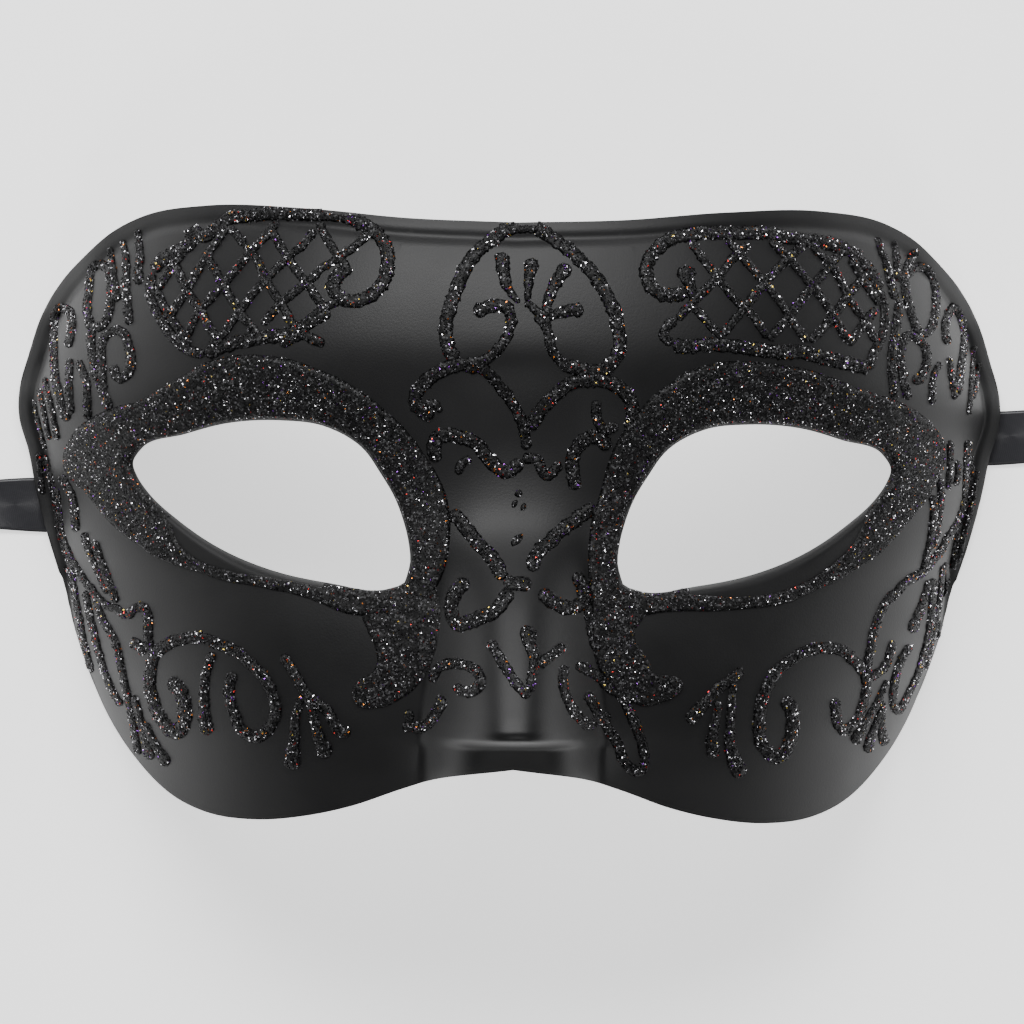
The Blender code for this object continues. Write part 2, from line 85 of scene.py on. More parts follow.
# The table and the studio light: a pale sheet lit from below, a large soft box above the forehead, a
# small one below the chin and two low ones at the sides. The cheeks face none of them and stay dark.
FLOOR_SIZE = 3.0
FLOOR_COLOUR = (0.88, 0.88, 0.88)
FLOOR_GLOW = 1.2
WORLD_COLOUR = (0.95, 0.96, 1.0)
WORLD_STRENGTH = 0.12
LIGHTS = (
    # name, place, size (long, wide), power
    ("side_light_left", (-1.00, 0.05, 0.14), (0.9, 0.24), 1.0),
    ("side_light_right", (1.00, 0.05, 0.14), (0.9, 0.24), 1.0),
    ("forehead_light", (-0.10, 0.66, 0.76), (0.9, 0.42), 14.5),
    ("chin_light", (0.09, -0.64, 0.77), (0.35, 0.30), 2.0),
)

floor_mesh = bmesh.new()
bmesh.ops.create_grid(floor_mesh, x_segments=2, y_segments=2, size=FLOOR_SIZE / 2)
floor_data = bpy.data.meshes.new("floor")
floor_mesh.to_mesh(floor_data)
floor_mesh.free()
floor_sheet, _, shader = plain_material("pale light table", FLOOR_COLOUR, 0.9)
shader.inputs["Emission Color"].default_value = (1.0, 1.0, 1.0, 1.0)
shader.inputs["Emission Strength"].default_value = FLOOR_GLOW
floor_data.materials.append(floor_sheet)
floor = bpy.data.objects.new("floor", floor_data)
bpy.context.scene.collection.objects.link(floor)

world = bpy.data.worlds.new("studio")
world.use_nodes = True
world.node_tree.nodes["Background"].inputs["Color"].default_value = (*WORLD_COLOUR, 1.0)
world.node_tree.nodes["Background"].inputs["Strength"].default_value = WORLD_STRENGTH
bpy.context.scene.world = world
for name, place, (long_side, wide_side), power in LIGHTS:
    light = bpy.data.lights.new(name, "AREA")
    light.shape = "RECTANGLE"
    light.size = long_side
    light.size_y = wide_side
    light.energy = power
    lamp = bpy.data.objects.new(name, light)
    bpy.context.scene.collection.objects.link(lamp)
    lamp.location = place
    lamp.rotation_euler = (-Vector(place)).to_track_quat("-Z", "Y").to_euler()

# The moulded shell. Thin black plastic, drawn over a form of the face, trimmed, with its top edge
# and temples turned out as a narrow lip and the edge of each eye hole turned in.
WIDTH = 0.180
HEIGHT = 0.108
DEPTH = 0.080
WALL = 0.0014
SIDE_LIP = 0.0032
TOP_LIP = 0.0030
LIP_SLOPE = 0.9
TOP_LIP_SLOPE = 0.42
LIP_FADES_IN = (-0.45, 0.0)
LIP_NARROWS = (0.70, 0.95)
GROOVE_DEPTH = 0.00055
GROOVE_WIDTH = 0.0020
EYE_WIDTH = 0.0492
EYE_HEIGHT = 0.029
EYE_GAP = 0.036
EYE_RISE = 0.0015
EYE_LIP = 0.0021
EYE_TURN = 0.0018
SOCKET_DEPTH = 0.0035
SOCKET_ACROSS = 0.55
SOCKET_UP = 0.62
RIBBON_WIDTH = 0.010
RIBBON_THICKNESS = 0.001
RIBBON_LEAVES = (0.0010, 0.0147)
ARCH_CLEARANCE = 0.0016
ARCH_END = 0.008
WRAP_POWER = 2.3
WRAP_END = 0.975
NOSE_POWER = 2.5
UNDER_NOSE = (-0.0380, -0.0402)
UNDER_NOSE_DEPTH = 0.0125
UNDER_NOSE_WIDTH = 0.0190
SECTION_COLUMNS = ("up", "half_width", "crown", "nose", "nose_half")
SECTIONS = (
    (-1.00, 0.780, 0.630, 0.180, 0.18),
    (-0.90, 0.790, 0.665, 0.235, 0.18),
    (-0.82, 0.798, 0.692, 0.262, 0.18),
    (-0.765, 0.807, 0.706, 0.272, 0.18),
    (-0.700, 0.819, 0.722, 0.274, 0.185),
    (-0.685, 0.822, 0.724, 0.275, 0.185),
    (-0.66, 0.827, 0.727, 0.266, 0.185),
    (-0.60, 0.838, 0.731, 0.241, 0.18),
    (-0.494, 0.863, 0.735, 0.199, 0.175),
    (-0.393, 0.883, 0.735, 0.159, 0.165),
    (-0.257, 0.906, 0.730, 0.106, 0.155),
    (-0.20, 0.915, 0.728, 0.079, 0.152),
    (-0.147, 0.925, 0.725, 0.055, 0.149),
    (-0.10, 0.933, 0.723, 0.034, 0.147),
    (-0.054, 0.941, 0.720, 0.018, 0.145),
    (0.00, 0.950, 0.716, 0.006, 0.145),
    (0.09, 0.963, 0.712, -0.005, 0.145),
    (0.20, 0.976, 0.715, -0.015, 0.145),
    (0.354, 0.999, 0.730, -0.020, 0.15),
    (0.513, 0.982, 0.738, 0.000, 0.16),
    (0.65, 0.956, 0.723, 0.000, 0.17),
    (0.77, 0.932, 0.701, 0.000, 0.18),
    (0.89, 0.908, 0.673, 0.000, 0.18),
    (1.00, 0.890, 0.643, 0.000, 0.18),
)
OUTLINE_TOP = (
    (0.000, 0.937),
    (0.211, 0.950),
    (0.407, 0.983),
    (0.603, 1.000),
    (0.728, 0.976),
    (0.793, 0.931),
    (0.860, 0.848),
    (0.909, 0.772),
)
OUTLINE_BOTTOM = (
    (0.794, -0.728),
    (0.747, -0.824),
    (0.653, -0.950),
    (0.592, -0.987),
    (0.498, -1.000),
    (0.391, -0.978),
    (0.310, -0.944),
    (0.211, -0.883),
    (0.132, -0.841),
    (0.000, -0.809),
)
SIDE_TOP = 0.66
SIDE_BOTTOM = -0.60
SIDE_POINTS = 12
EYE_OUTLINE = (
    (0.000, -0.71),
    (0.006, -0.434),
    (0.026, -0.172),
    (0.057, 0.097),
    (0.102, 0.352),
    (0.171, 0.676),
    (0.305, 0.931),
    (0.463, 1.000),
    (0.663, 0.959),
    (0.807, 0.834),
    (0.965, 0.669),
    (1.000, 0.483),
    (0.984, 0.324),
    (0.947, 0.145),
    (0.825, -0.221),
    (0.675, -0.545),
    (0.498, -0.786),
    (0.287, -0.938),
    (0.075, -1.000),
    (0.018, -0.920),
)
OUTLINE_STATIONS = 220
LIP_RINGS = 7
FACE_RINGS = 24
EDGE_RINGS = 16
EDGE_ZONE = 0.0048
STRIP_COLUMNS = 20
STRIP_NARROW = 0.70
STRIP_WIDE = 0.98
STRIP_WAIST = 0.37
TIP_ZONE = 0.13


def smooth_rows(keys, values, at):
    """A cubic through the rows of a table, level beyond its ends."""
    keys = np.asarray(keys, float)
    values = np.asarray(values, float)
    slopes = np.gradient(values, keys)
    at = np.clip(at, keys[0], keys[-1])
    row = np.clip(np.searchsorted(keys, at) - 1, 0, len(keys) - 2)
    step = keys[row + 1] - keys[row]
    t = (at - keys[row]) / step
    start = (1 + 2 * t) * (1 - t) ** 2 * values[row] + t * (1 - t) ** 2 * step * slopes[row]
    end = t * t * (3 - 2 * t) * values[row + 1] + t * t * (t - 1) * step * slopes[row + 1]
    return start + end


def section(column, y):
    table = np.array(SECTIONS)
    return smooth_rows(table[:, 0], table[:, SECTION_COLUMNS.index(column)], y / (HEIGHT / 2))


def blend(low, high, at):
    """0 up to low and 1 from high on, smooth between."""
    t = np.clip((at - low) / (high - low), 0.0, 1.0)
    return t * t * (3 - 2 * t)


def lip_width(y):
    up = y / (HEIGHT / 2)
    return blend(*LIP_FADES_IN, up) * (SIDE_LIP + (TOP_LIP - SIDE_LIP) * blend(*LIP_NARROWS, up))


def arch_height(y):
    """How far the side edge stands off the table, over the ribbons."""
    level = (RIBBON_LEAVES[1] - RIBBON_LEAVES[0] + RIBBON_WIDTH) / 2
    from_middle = np.abs(y - sum(RIBBON_LEAVES) / 2)
    return (RIBBON_THICKNESS + ARCH_CLEARANCE) * (1 - blend(level, level + ARCH_END, from_middle))


def wrap(reach):
    foot = math.sqrt(1 - WRAP_END**WRAP_POWER)
    return (np.sqrt(1 - (WRAP_END * reach) ** WRAP_POWER) - foot) / (1 - foot)


def face_height(x, y):
    """The height of the outer face over the table, without its lips."""
    lip = lip_width(y)
    foot = LIP_SLOPE * lip + arch_height(y)
    half = section("half_width", y) * WIDTH / 2 - lip
    crown = section("crown", y) * DEPTH
    height = foot + (crown - foot) * wrap(np.clip(np.abs(x) / half, 0, 1))
    beside_nose = np.clip(np.abs(x) / (section("nose_half", y) * WIDTH / 2), 0, 1)
    height = height + section("nose", y) * DEPTH * (1 - beside_nose**NOSE_POWER) ** 2
    under_nose = blend(0, 1, (UNDER_NOSE[0] - y) / (UNDER_NOSE[0] - UNDER_NOSE[1]))
    height = height - UNDER_NOSE_DEPTH * under_nose * np.exp(-((2 * np.abs(x) / UNDER_NOSE_WIDTH) ** 2.4))
    across = (np.abs(x) - (EYE_GAP + EYE_WIDTH) / 2) / (SOCKET_ACROSS * EYE_WIDTH)
    up = (y - EYE_RISE) / (SOCKET_UP * EYE_HEIGHT)
    return height - SOCKET_DEPTH * np.exp(-(across**2) - up**2)


def travelled(points):
    """The length of a line across and up, from its start to each of its points."""
    return np.concatenate([[0], np.cumsum(np.linalg.norm(np.diff(points[:, :2], axis=0), axis=1))])


def dense(points, closed=False, steps=24):
    """A smooth line through the points, as an array of close points."""
    points = np.asarray(points, float)
    if closed:
        points = np.vstack([points[-2:], points, points[:3]])
    run = travelled(points)
    at = np.concatenate([np.linspace(a, b, steps, endpoint=False) for a, b in zip(run, run[1:])])
    at = np.append(at, run[-1])
    line = np.stack([smooth_rows(run, points[:, i], at) for i in range(points.shape[1])], axis=1)
    if closed:
        line = line[2 * steps : -3 * steps]
    return line


def along(line, shares):
    """Points of a line at shares of its length."""
    run = travelled(line)
    at = np.asarray(shares) * run[-1]
    return np.stack([np.interp(at, run, line[:, i]) for i in range(line.shape[1])], axis=1)


scale = np.array([WIDTH / 2, HEIGHT / 2])
side_y = np.linspace(SIDE_TOP, SIDE_BOTTOM, SIDE_POINTS) * HEIGHT / 2
side_line = np.stack([section("half_width", side_y) * WIDTH / 2, side_y], axis=1)
half_outline = dense(np.vstack([np.array(OUTLINE_TOP) * scale, side_line, np.array(OUTLINE_BOTTOM) * scale]))
eye_middle = np.array([(EYE_GAP + EYE_WIDTH) / 2, EYE_RISE])
eye_points = np.array(EYE_OUTLINE) * (EYE_WIDTH, EYE_HEIGHT / 2) + (EYE_GAP / 2, EYE_RISE)


def reach_round(line, middle, angle):
    """How far a closed line is from a point inside it, in each direction."""
    from_middle = line[:, :2] - middle
    turn = np.arctan2(from_middle[:, 1], from_middle[:, 0])
    order = np.argsort(turn)
    reach = np.hypot(from_middle[:, 0], from_middle[:, 1])
    return np.interp(angle, turn[order], reach[order], period=2 * math.pi)


def outward(angle):
    return np.stack([np.cos(angle), np.sin(angle)], axis=1)


eye_line = dense(eye_points, closed=True)
turning_point = np.argmax(half_outline[:, 0])
outline_ahead = np.gradient(half_outline, axis=0)
outline_inward = np.stack([outline_ahead[:, 1], -outline_ahead[:, 0]], axis=1)
outline_inward /= np.linalg.norm(outline_inward, axis=1)[:, None]


def top_edge(x):
    return np.interp(x, half_outline[:turning_point, 0], half_outline[:turning_point, 1])


def bottom_edge(x):
    line = half_outline[turning_point:][::-1]
    return np.interp(x, line[:, 0], line[:, 1])


def nearest_on(line, places):
    """The nearest point of a line to each place: its number and how far it is."""
    numbers = []
    for start in range(0, len(places), 2000):
        some = places[start : start + 2000]
        numbers.append(np.argmin(((some[:, None] - line[None]) ** 2).sum(axis=2), axis=1))
    number = np.concatenate(numbers)
    return number, np.linalg.norm(places - line[number], axis=1)


def shell_points(places):
    """The outer face over places of the right half: its lip, the groove behind it and the eye's edge."""
    number, to_rim = nearest_on(half_outline, places)
    lip = lip_width(half_outline[number, 1])
    at_top = blend(*LIP_NARROWS, half_outline[number, 1] / (HEIGHT / 2))
    slope = LIP_SLOPE + (TOP_LIP_SLOPE - LIP_SLOPE) * at_top
    over_lip = np.maximum(lip - to_rim, 0)
    base = places + outline_inward[number] * over_lip[:, None]
    height = face_height(base[:, 0], base[:, 1]) - slope * over_lip
    groove = np.exp(-(((to_rim - lip) / (GROOVE_WIDTH / 2)) ** 2))
    height = height - GROOVE_DEPTH * groove * blend(0.0, TOP_LIP, lip)
    angle = np.arctan2(*(places - eye_middle).T[::-1])
    from_eye = np.linalg.norm(places - eye_middle, axis=1) - reach_round(eye_line, eye_middle, angle)
    height = height - EYE_TURN * (1 - blend(0, 1, np.sqrt(np.clip(from_eye / EYE_LIP, 0, 1))))
    return np.column_stack([places, height])


def strip_side(share):
    """Half the width of the strip over the nose and brow, narrowest between the eyes."""
    from_waist = np.minimum(1, ((share - STRIP_WAIST) / STRIP_WAIST) ** 2)
    return EYE_GAP / 2 * (STRIP_NARROW + (STRIP_WIDE - STRIP_NARROW) * from_waist)


def add_grid(mesh, rows):
    """A grid of quads laid over rows of points."""
    rows = np.asarray(rows)
    made = bmesh.ops.create_grid(mesh, x_segments=rows.shape[1] - 1, y_segments=rows.shape[0] - 1, size=1)
    for vert, point in zip(made["verts"], rows.reshape(-1, 3)):
        vert.co = point
    return made["verts"]


lip_share = EDGE_ZONE / (top_edge(0.0) - bottom_edge(0.0))
strip_shares = np.unique(
    np.concatenate(
        [
            np.linspace(0, TIP_ZONE, 34),
            np.linspace(TIP_ZONE, 1 - lip_share, 50),
            np.linspace(1 - lip_share, 1, EDGE_RINGS + 1),
        ]
    )
)
strip_rows = []
for share in strip_shares:
    x = strip_side(share) * np.linspace(0, 1, STRIP_COLUMNS)
    y = bottom_edge(x) + (top_edge(x) - bottom_edge(x)) * share
    strip_rows.append(np.column_stack([x, y]))
strip_rows = np.array(strip_rows)

corners = [strip_rows[-1, -1], strip_rows[0, -1]]
first = np.searchsorted(half_outline[:turning_point, 0], corners[0][0])
last = len(half_outline) - np.searchsorted(half_outline[::-1, 0], corners[1][0])
rim = along(np.vstack([corners[:1], half_outline[first:last], corners[1:]]), np.linspace(0, 1, OUTLINE_STATIONS))
outer = np.vstack([rim, strip_rows[1:-1, -1], rim[:1]])
angle = np.arctan2(*(outer - eye_middle).T[::-1])
edge = eye_middle + outward(angle) * reach_round(eye_line, eye_middle, angle)[:, None]
lip_end = edge + outward(angle) * EYE_LIP
to_outer = outer - lip_end
length = np.linalg.norm(to_outer, axis=1)[:, None]
edge_start = outer - to_outer * np.minimum(EDGE_ZONE / length, 0.5)
rings = [edge + (lip_end - edge) * t for t in np.linspace(0, 1, LIP_RINGS)]
rings += [lip_end + (edge_start - lip_end) * t for t in np.linspace(0, 1, FACE_RINGS)[1:]]
rings += [edge_start + (outer - edge_start) * t for t in np.linspace(0, 1, EDGE_RINGS + 1)[1:]]

shell_mesh = bmesh.new()
for places in (np.array(rings), strip_rows):
    points = shell_points(places.reshape(-1, 2)).reshape(*places.shape[:2], 3)
    add_grid(shell_mesh, points)
bmesh.ops.remove_doubles(shell_mesh, verts=shell_mesh.verts, dist=0.00001)
everything = [*shell_mesh.verts, *shell_mesh.edges, *shell_mesh.faces]
bmesh.ops.mirror(shell_mesh, geom=everything, axis="X", merge_dist=0.00001)
bmesh.ops.remove_doubles(shell_mesh, verts=shell_mesh.verts, dist=0.00001)
bmesh.ops.recalc_face_normals(shell_mesh, faces=shell_mesh.faces)
if sum(face.normal.z for face in shell_mesh.faces) < 0:
    bmesh.ops.reverse_faces(shell_mesh, faces=shell_mesh.faces)
sheet_data = bpy.data.meshes.new("shell_sheet")
shell_mesh.to_mesh(sheet_data)
sheet = bpy.data.objects.new("shell_sheet", sheet_data)
bpy.context.scene.collection.objects.link(sheet)
wall = sheet.modifiers.new("Wall", "SOLIDIFY")
wall.thickness = WALL
wall.offset = -1
bpy.context.view_layer.update()
shell_data = bpy.data.meshes.new_from_object(sheet.evaluated_get(bpy.context.evaluated_depsgraph_get()))
bpy.data.objects.remove(sheet)
shell_mesh.clear()
shell_mesh.from_mesh(shell_data)
cut = bmesh.ops.bisect_plane(
    shell_mesh,
    geom=[*shell_mesh.verts, *shell_mesh.edges, *shell_mesh.faces],
    plane_co=(0, 0, 0.00002),
    plane_no=(0, 0, -1),
    clear_outer=True,
    dist=0.000001,
)
bmesh.ops.holes_fill(shell_mesh, edges=[e for e in shell_mesh.edges if e.is_boundary], sides=0)
shell_mesh.to_mesh(shell_data)
shell_tree = BVHTree.FromBMesh(shell_mesh)
shell_mesh.free()
shell_data.name = "moulded_shell"
shell_data.shade_smooth()
shell_data.set_sharp_from_angle(angle=math.radians(50))

shell_plastic, tree, shader = plain_material("matte black plastic", (0.006, 0.006, 0.0065), 0.5)
shader.inputs["Specular IOR Level"].default_value = 0.32
place = tree.nodes.new("ShaderNodeTexCoord")
cloud = tree.nodes.new("ShaderNodeTexNoise")
cloud.inputs["Scale"].default_value = 60.0
cloud.inputs["Detail"].default_value = 6.0
tree.links.new(place.outputs["Object"], cloud.inputs["Vector"])
tone = tree.nodes.new("ShaderNodeValToRGB")
tone.color_ramp.elements[0].position = 0.35
tone.color_ramp.elements[0].color = (0.0045, 0.0045, 0.0048, 1)
tone.color_ramp.elements[1].position = 0.75
tone.color_ramp.elements[1].color = (0.0080, 0.0079, 0.0083, 1)
tree.links.new(cloud.outputs["Fac"], tone.inputs["Fac"])
tree.links.new(tone.outputs["Color"], shader.inputs["Base Color"])
gloss = tree.nodes.new("ShaderNodeMapRange")
gloss.inputs["To Min"].default_value = 0.42
gloss.inputs["To Max"].default_value = 0.56
tree.links.new(cloud.outputs["Fac"], gloss.inputs["Value"])
tree.links.new(gloss.outputs["Result"], shader.inputs["Roughness"])
grain = tree.nodes.new("ShaderNodeTexNoise")
grain.inputs["Scale"].default_value = 2600.0
grain.inputs["Detail"].default_value = 2.0
tree.links.new(place.outputs["Object"], grain.inputs["Vector"])
mould = tree.nodes.new("ShaderNodeBump")
mould.inputs["Strength"].default_value = 0.35
mould.inputs["Distance"].default_value = 0.00006
tree.links.new(grain.outputs["Fac"], mould.inputs["Height"])
tree.links.new(mould.outputs["Normal"], shader.inputs["Normal"])
shell_data.materials.clear()
shell_data.materials.append(shell_plastic)
shell = bpy.data.objects.new("moulded_shell", shell_data)
bpy.context.scene.collection.objects.link(shell)
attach(shell, "root")
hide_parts("mask_shell")

# Glitter glue, piped on by hand from a fine nozzle: clear glue full of black and silver flakes,
# which dries as a low rounded bead. First its finish, then how a bead is laid on the shell.
BEAD = 11.0
SPREAD = 1.28
BEAD_RISE = 0.00046
BEAD_SINK = 0.00018
BEAD_STEP = 0.00045
BEAD_SIDES = 8
LUMPS = 0.11
ROUGH_EDGE = 0.07
PIXEL = 0.000175
FLAKE_SIZE = 0.00033
FLAKE_RISE = 0.00009
FLAKE_TILT = 0.55
FLAKES_PER_MM2 = 10.4
BRIGHT_FROM = 0.90
MOST_FLAKES = 33000

glitter_glue, tree, shader = plain_material("black glitter glue", (0.006, 0.006, 0.0065), 0.55)
shader.inputs["Specular IOR Level"].default_value = 0.2
place = tree.nodes.new("ShaderNodeTexCoord")
cells = tree.nodes.new("ShaderNodeTexVoronoi")
cells.inputs["Scale"].default_value = 3000.0
tree.links.new(place.outputs["Object"], cells.inputs["Vector"])
each = tree.nodes.new("ShaderNodeSeparateColor")
tree.links.new(cells.outputs["Color"], each.inputs["Color"])
tone = tree.nodes.new("ShaderNodeValToRGB")
for position, shade in ((0.0, 0.002), (0.55, 0.006), (0.82, 0.016), (0.95, 0.06)):
    stop = tone.color_ramp.elements.new(position)
    stop.color = (shade, shade, shade * 1.03, 1)
tone.color_ramp.elements.remove(tone.color_ramp.elements[-1])
tree.links.new(each.outputs["Red"], tone.inputs["Fac"])
tree.links.new(tone.outputs["Color"], shader.inputs["Base Color"])
facet = tree.nodes.new("ShaderNodeBump")
facet.inputs["Strength"].default_value = 0.9
facet.inputs["Distance"].default_value = 0.00015
tree.links.new(each.outputs["Green"], facet.inputs["Height"])
tree.links.new(facet.outputs["Normal"], shader.inputs["Normal"])

glitter_flakes, tree, shader = plain_material("glitter flakes", (0.25, 0.25, 0.26), 0.22, 0.9)
tint = tree.nodes.new("ShaderNodeAttribute")
tint.attribute_name = "tint"
tone = tree.nodes.new("ShaderNodeValToRGB")
tone.color_ramp.interpolation = "CONSTANT"
FLAKE_TONES = (
    # share of the flakes from which a colour starts, and the colour
    (0.00, (0.004, 0.004, 0.0045)),
    (0.46, (0.013, 0.0125, 0.014)),
    (0.72, (0.045, 0.043, 0.047)),
    (0.84, (0.17, 0.165, 0.175)),
    (0.90, (0.95, 0.94, 0.98)),
    (0.972, (0.60, 0.035, 0.025)),
    (0.980, (0.72, 0.22, 0.030)),
    (0.986, (0.26, 0.060, 0.50)),
    (0.993, (0.75, 0.56, 0.10)),
)
for position, colour in FLAKE_TONES:
    stop = tone.color_ramp.elements.new(position)
    stop.color = (*colour, 1)
tone.color_ramp.elements.remove(tone.color_ramp.elements[0])
tone.color_ramp.elements.remove(tone.color_ramp.elements[-1])
tree.links.new(tint.outputs["Fac"], tone.inputs["Fac"])
tree.links.new(tone.outputs["Color"], shader.inputs["Base Color"])


def on_shell(x, y):
    """The point and normal of the shell's outer face at a place across and up."""
    hit, normal, _, _ = shell_tree.ray_cast(Vector((x, y, 2 * DEPTH)), Vector((0, 0, -1)))
    if hit is None or hit.z < 0.0008:
        half = section("half_width", y) * WIDTH / 2
        hit, normal, _, _ = shell_tree.find_nearest(Vector((max(-half, min(half, x)), y, 0.004)))
    return hit, normal


def places_of(pixels):
    """Where pixels of the photograph lie on the shell, across and up. Other columns stay."""
    placed = []
    for across, down, *rest in pixels:
        way = through_pixel(across, down)
        hit, _, _, _ = shell_tree.ray_cast(CAMERA_AT, way)
        if hit is None:
            table = CAMERA_AT - way * (CAMERA_AT.z / way.z)
            hit, _, _, _ = shell_tree.find_nearest(table)
        placed.append((hit.x, hit.y, *rest))
    return np.array(placed)


def add_bead(mesh, widths, pixels, seed, rise=BEAD_RISE):
    """A piped bead along pixels of the photograph, with its width in pixels at its start, middle and end."""
    line = dense(places_of(pixels))
    total = travelled(line)[-1]
    count = max(6, int(total / BEAD_STEP))
    ends = 1 - np.cos(np.linspace(0, math.pi, count))
    shares = 0.5 * (0.35 * ends + 0.65 * np.linspace(0, 2, count))
    line = along(line, shares)
    start, middle, end = widths
    width = np.interp(shares, (0, 0.5, 1), (start, middle, end)) * PIXEL * SPREAD
    ripple = np.sin(total * shares * 2400 + seed) + np.sin(total * shares * 5300 + 2.1 * seed)
    rough = np.random.default_rng(int(1000 * seed)).normal(0, ROUGH_EDGE, (2, count))
    width = width * (1 + LUMPS * ripple / 2)
    from_end = np.minimum(shares, 1 - shares) * total
    round_end = np.sqrt(np.clip(1 - (1 - np.minimum(from_end / (width / 2), 1)) ** 2, 0, 1))
    forward = np.gradient(line, axis=0)
    forward /= np.linalg.norm(forward, axis=1)[:, None] + 1e-12
    across = np.stack([forward[:, 1], -forward[:, 0]], axis=1)
    rows = []
    for k in range(BEAD_SIDES + 1):
        around = 2 * math.pi * k / BEAD_SIDES
        ragged = 1 + rough[int(math.cos(around) > 0)]
        side = line + across * (math.cos(around) * width / 2 * round_end * ragged)[:, None]
        height = rise * (1 + 1.5 * LUMPS * np.sin(total * shares * 3700 + seed)) * round_end
        lift = math.sin(around) * (height if math.sin(around) > 0 else BEAD_SINK)
        row = []
        for (x, y), over in zip(side, np.broadcast_to(lift, len(side))):
            hit, normal = on_shell(x, y)
            row.append(hit + normal * over)
        rows.append(row)
    add_grid(mesh, rows)


def finish_glitter(name, mesh, replaced=(), flake_size=FLAKE_SIZE, per_mm2=FLAKES_PER_MM2):
    """Closes the beads, gives them their glue and lays their flakes, as two pieces."""
    bmesh.ops.remove_doubles(mesh, verts=mesh.verts, dist=0.00002)
    bmesh.ops.dissolve_degenerate(mesh, edges=mesh.edges, dist=0.00001)
    bmesh.ops.recalc_face_normals(mesh, faces=mesh.faces)
    data = bpy.data.meshes.new(name)
    mesh.to_mesh(data)
    mesh.free()
    data.shade_smooth()
    data.materials.append(glitter_glue)
    glue = bpy.data.objects.new(name, data)
    bpy.context.scene.collection.objects.link(glue)
    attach(glue, "root")
    if replaced:
        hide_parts(*replaced)

    data.calc_loop_triangles()
    corners = np.array([[data.vertices[i].co for i in t.vertices] for t in data.loop_triangles])
    normals = np.array([t.normal for t in data.loop_triangles])
    middles = corners.mean(axis=1)
    areas = np.linalg.norm(np.cross(corners[:, 1] - corners[:, 0], corners[:, 2] - corners[:, 0]), axis=1) / 2
    shown = np.array([(p - on_shell(p[0], p[1])[0][:]) @ n for p, n in zip(middles, normals)]) > 0.00005
    areas = areas * shown
    random = np.random.default_rng(len(name) * 7919 + len(corners))
    count = int(min(MOST_FLAKES, areas.sum() * 1e6 * per_mm2))
    chosen = random.choice(len(areas), count, p=areas / areas.sum())
    share = random.random((count, 2))
    fold = share.sum(axis=1) > 1
    share[fold] = 1 - share[fold]
    a, b, c = corners[chosen, 0], corners[chosen, 1], corners[chosen, 2]
    spots = a + (b - a) * share[:, :1] + (c - a) * share[:, 1:]
    facing = normals[chosen] + random.normal(0, FLAKE_TILT, (count, 3))
    facing /= np.linalg.norm(facing, axis=1)[:, None]
    side = np.cross(facing, random.normal(0, 1, (count, 3)))
    side /= np.linalg.norm(side, axis=1)[:, None]
    other = np.cross(facing, side)
    tint = random.random(count)
    size = flake_size * random.uniform(0.6, 1.25, (count, 1)) * np.where(tint > BRIGHT_FROM, 1.2, 1.0)[:, None]
    points = []
    for angle in (0, 2 * math.pi / 3, 4 * math.pi / 3):
        points.append(spots + (side * math.cos(angle) + other * math.sin(angle)) * size * 0.62)
    points.append(spots + facing * FLAKE_RISE)
    points = np.stack(points, axis=1).reshape(-1, 3)
    one = np.array([[0, 1, 3], [1, 2, 3], [2, 0, 3], [0, 2, 1]])
    faces = (one[None] + 4 * np.arange(count)[:, None, None]).reshape(-1, 3)
    flake_data = bpy.data.meshes.new(name + "_flakes")
    flake_data.from_pydata(points.tolist(), [], faces.tolist())
    tone = flake_data.attributes.new("tint", "FLOAT", "FACE")
    tone.data.foreach_set("value", np.repeat(tint, len(one)).astype(np.float32))
    flake_data.materials.append(glitter_flakes)
    flakes = bpy.data.objects.new(name + "_flakes", flake_data)
    bpy.context.scene.collection.objects.link(flakes)
    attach(flakes, "root")


def pipe(name, strokes, replaced=()):
    """Pipes a group of strokes as one piece. Each is its three widths and its pixels."""
    mesh = bmesh.new()
    for number, (widths, pixels) in enumerate(strokes):
        if not isinstance(widths, tuple):
            widths = (widths, widths, widths)
        add_bead(mesh, widths, pixels, seed=1.7 * number + len(name))
    finish_glitter(name, mesh, replaced)


# The glitter band round each eye: glue brushed on thick from the eye's turned-in edge out to a
# piped line, which runs on alone under the eye, with a broad tail beside the nose.
BAND_STATIONS = 190
BAND_COLUMNS = 14
BAND_RISE = 0.00055
BAND_ROUND = 0.0007
SOLID_START = 0.0003
BAND_FLAKE = 0.00024
BAND_FLAKES_PER_MM2 = 30.0
LEFT_BAND = (
    *((83, 490), (95, 505), (105, 517), (118, 530), (128, 538), (140, 546), (150, 554), (165, 561)),
    *((180, 567), (200, 572), (215, 578), (230, 582), (250, 585), (265, 588), (280, 591), (298, 595)),
    *((321, 603), (345, 613), (370, 616), (400, 612), (425, 600), (438, 585), (446, 565), (450, 540)),
    *((450, 518), (447, 498), (438, 476), (425, 455), (412, 437), (400, 423), (385, 410), (370, 397)),
    *((355, 387), (340, 378), (320, 370), (300, 362), (280, 357), (260, 355), (240, 355), (220, 358)),
    *((200, 365), (185, 375), (165, 385), (150, 395), (135, 402), (115, 407), (98, 414), (82, 424)),
    *((70, 438), (63, 455), (64, 470), (72, 482)),
)
LEFT_BARE = ((168, 518), (182, 548), (200, 561), (230, 571), (265, 577), (298, 583), (325, 588))
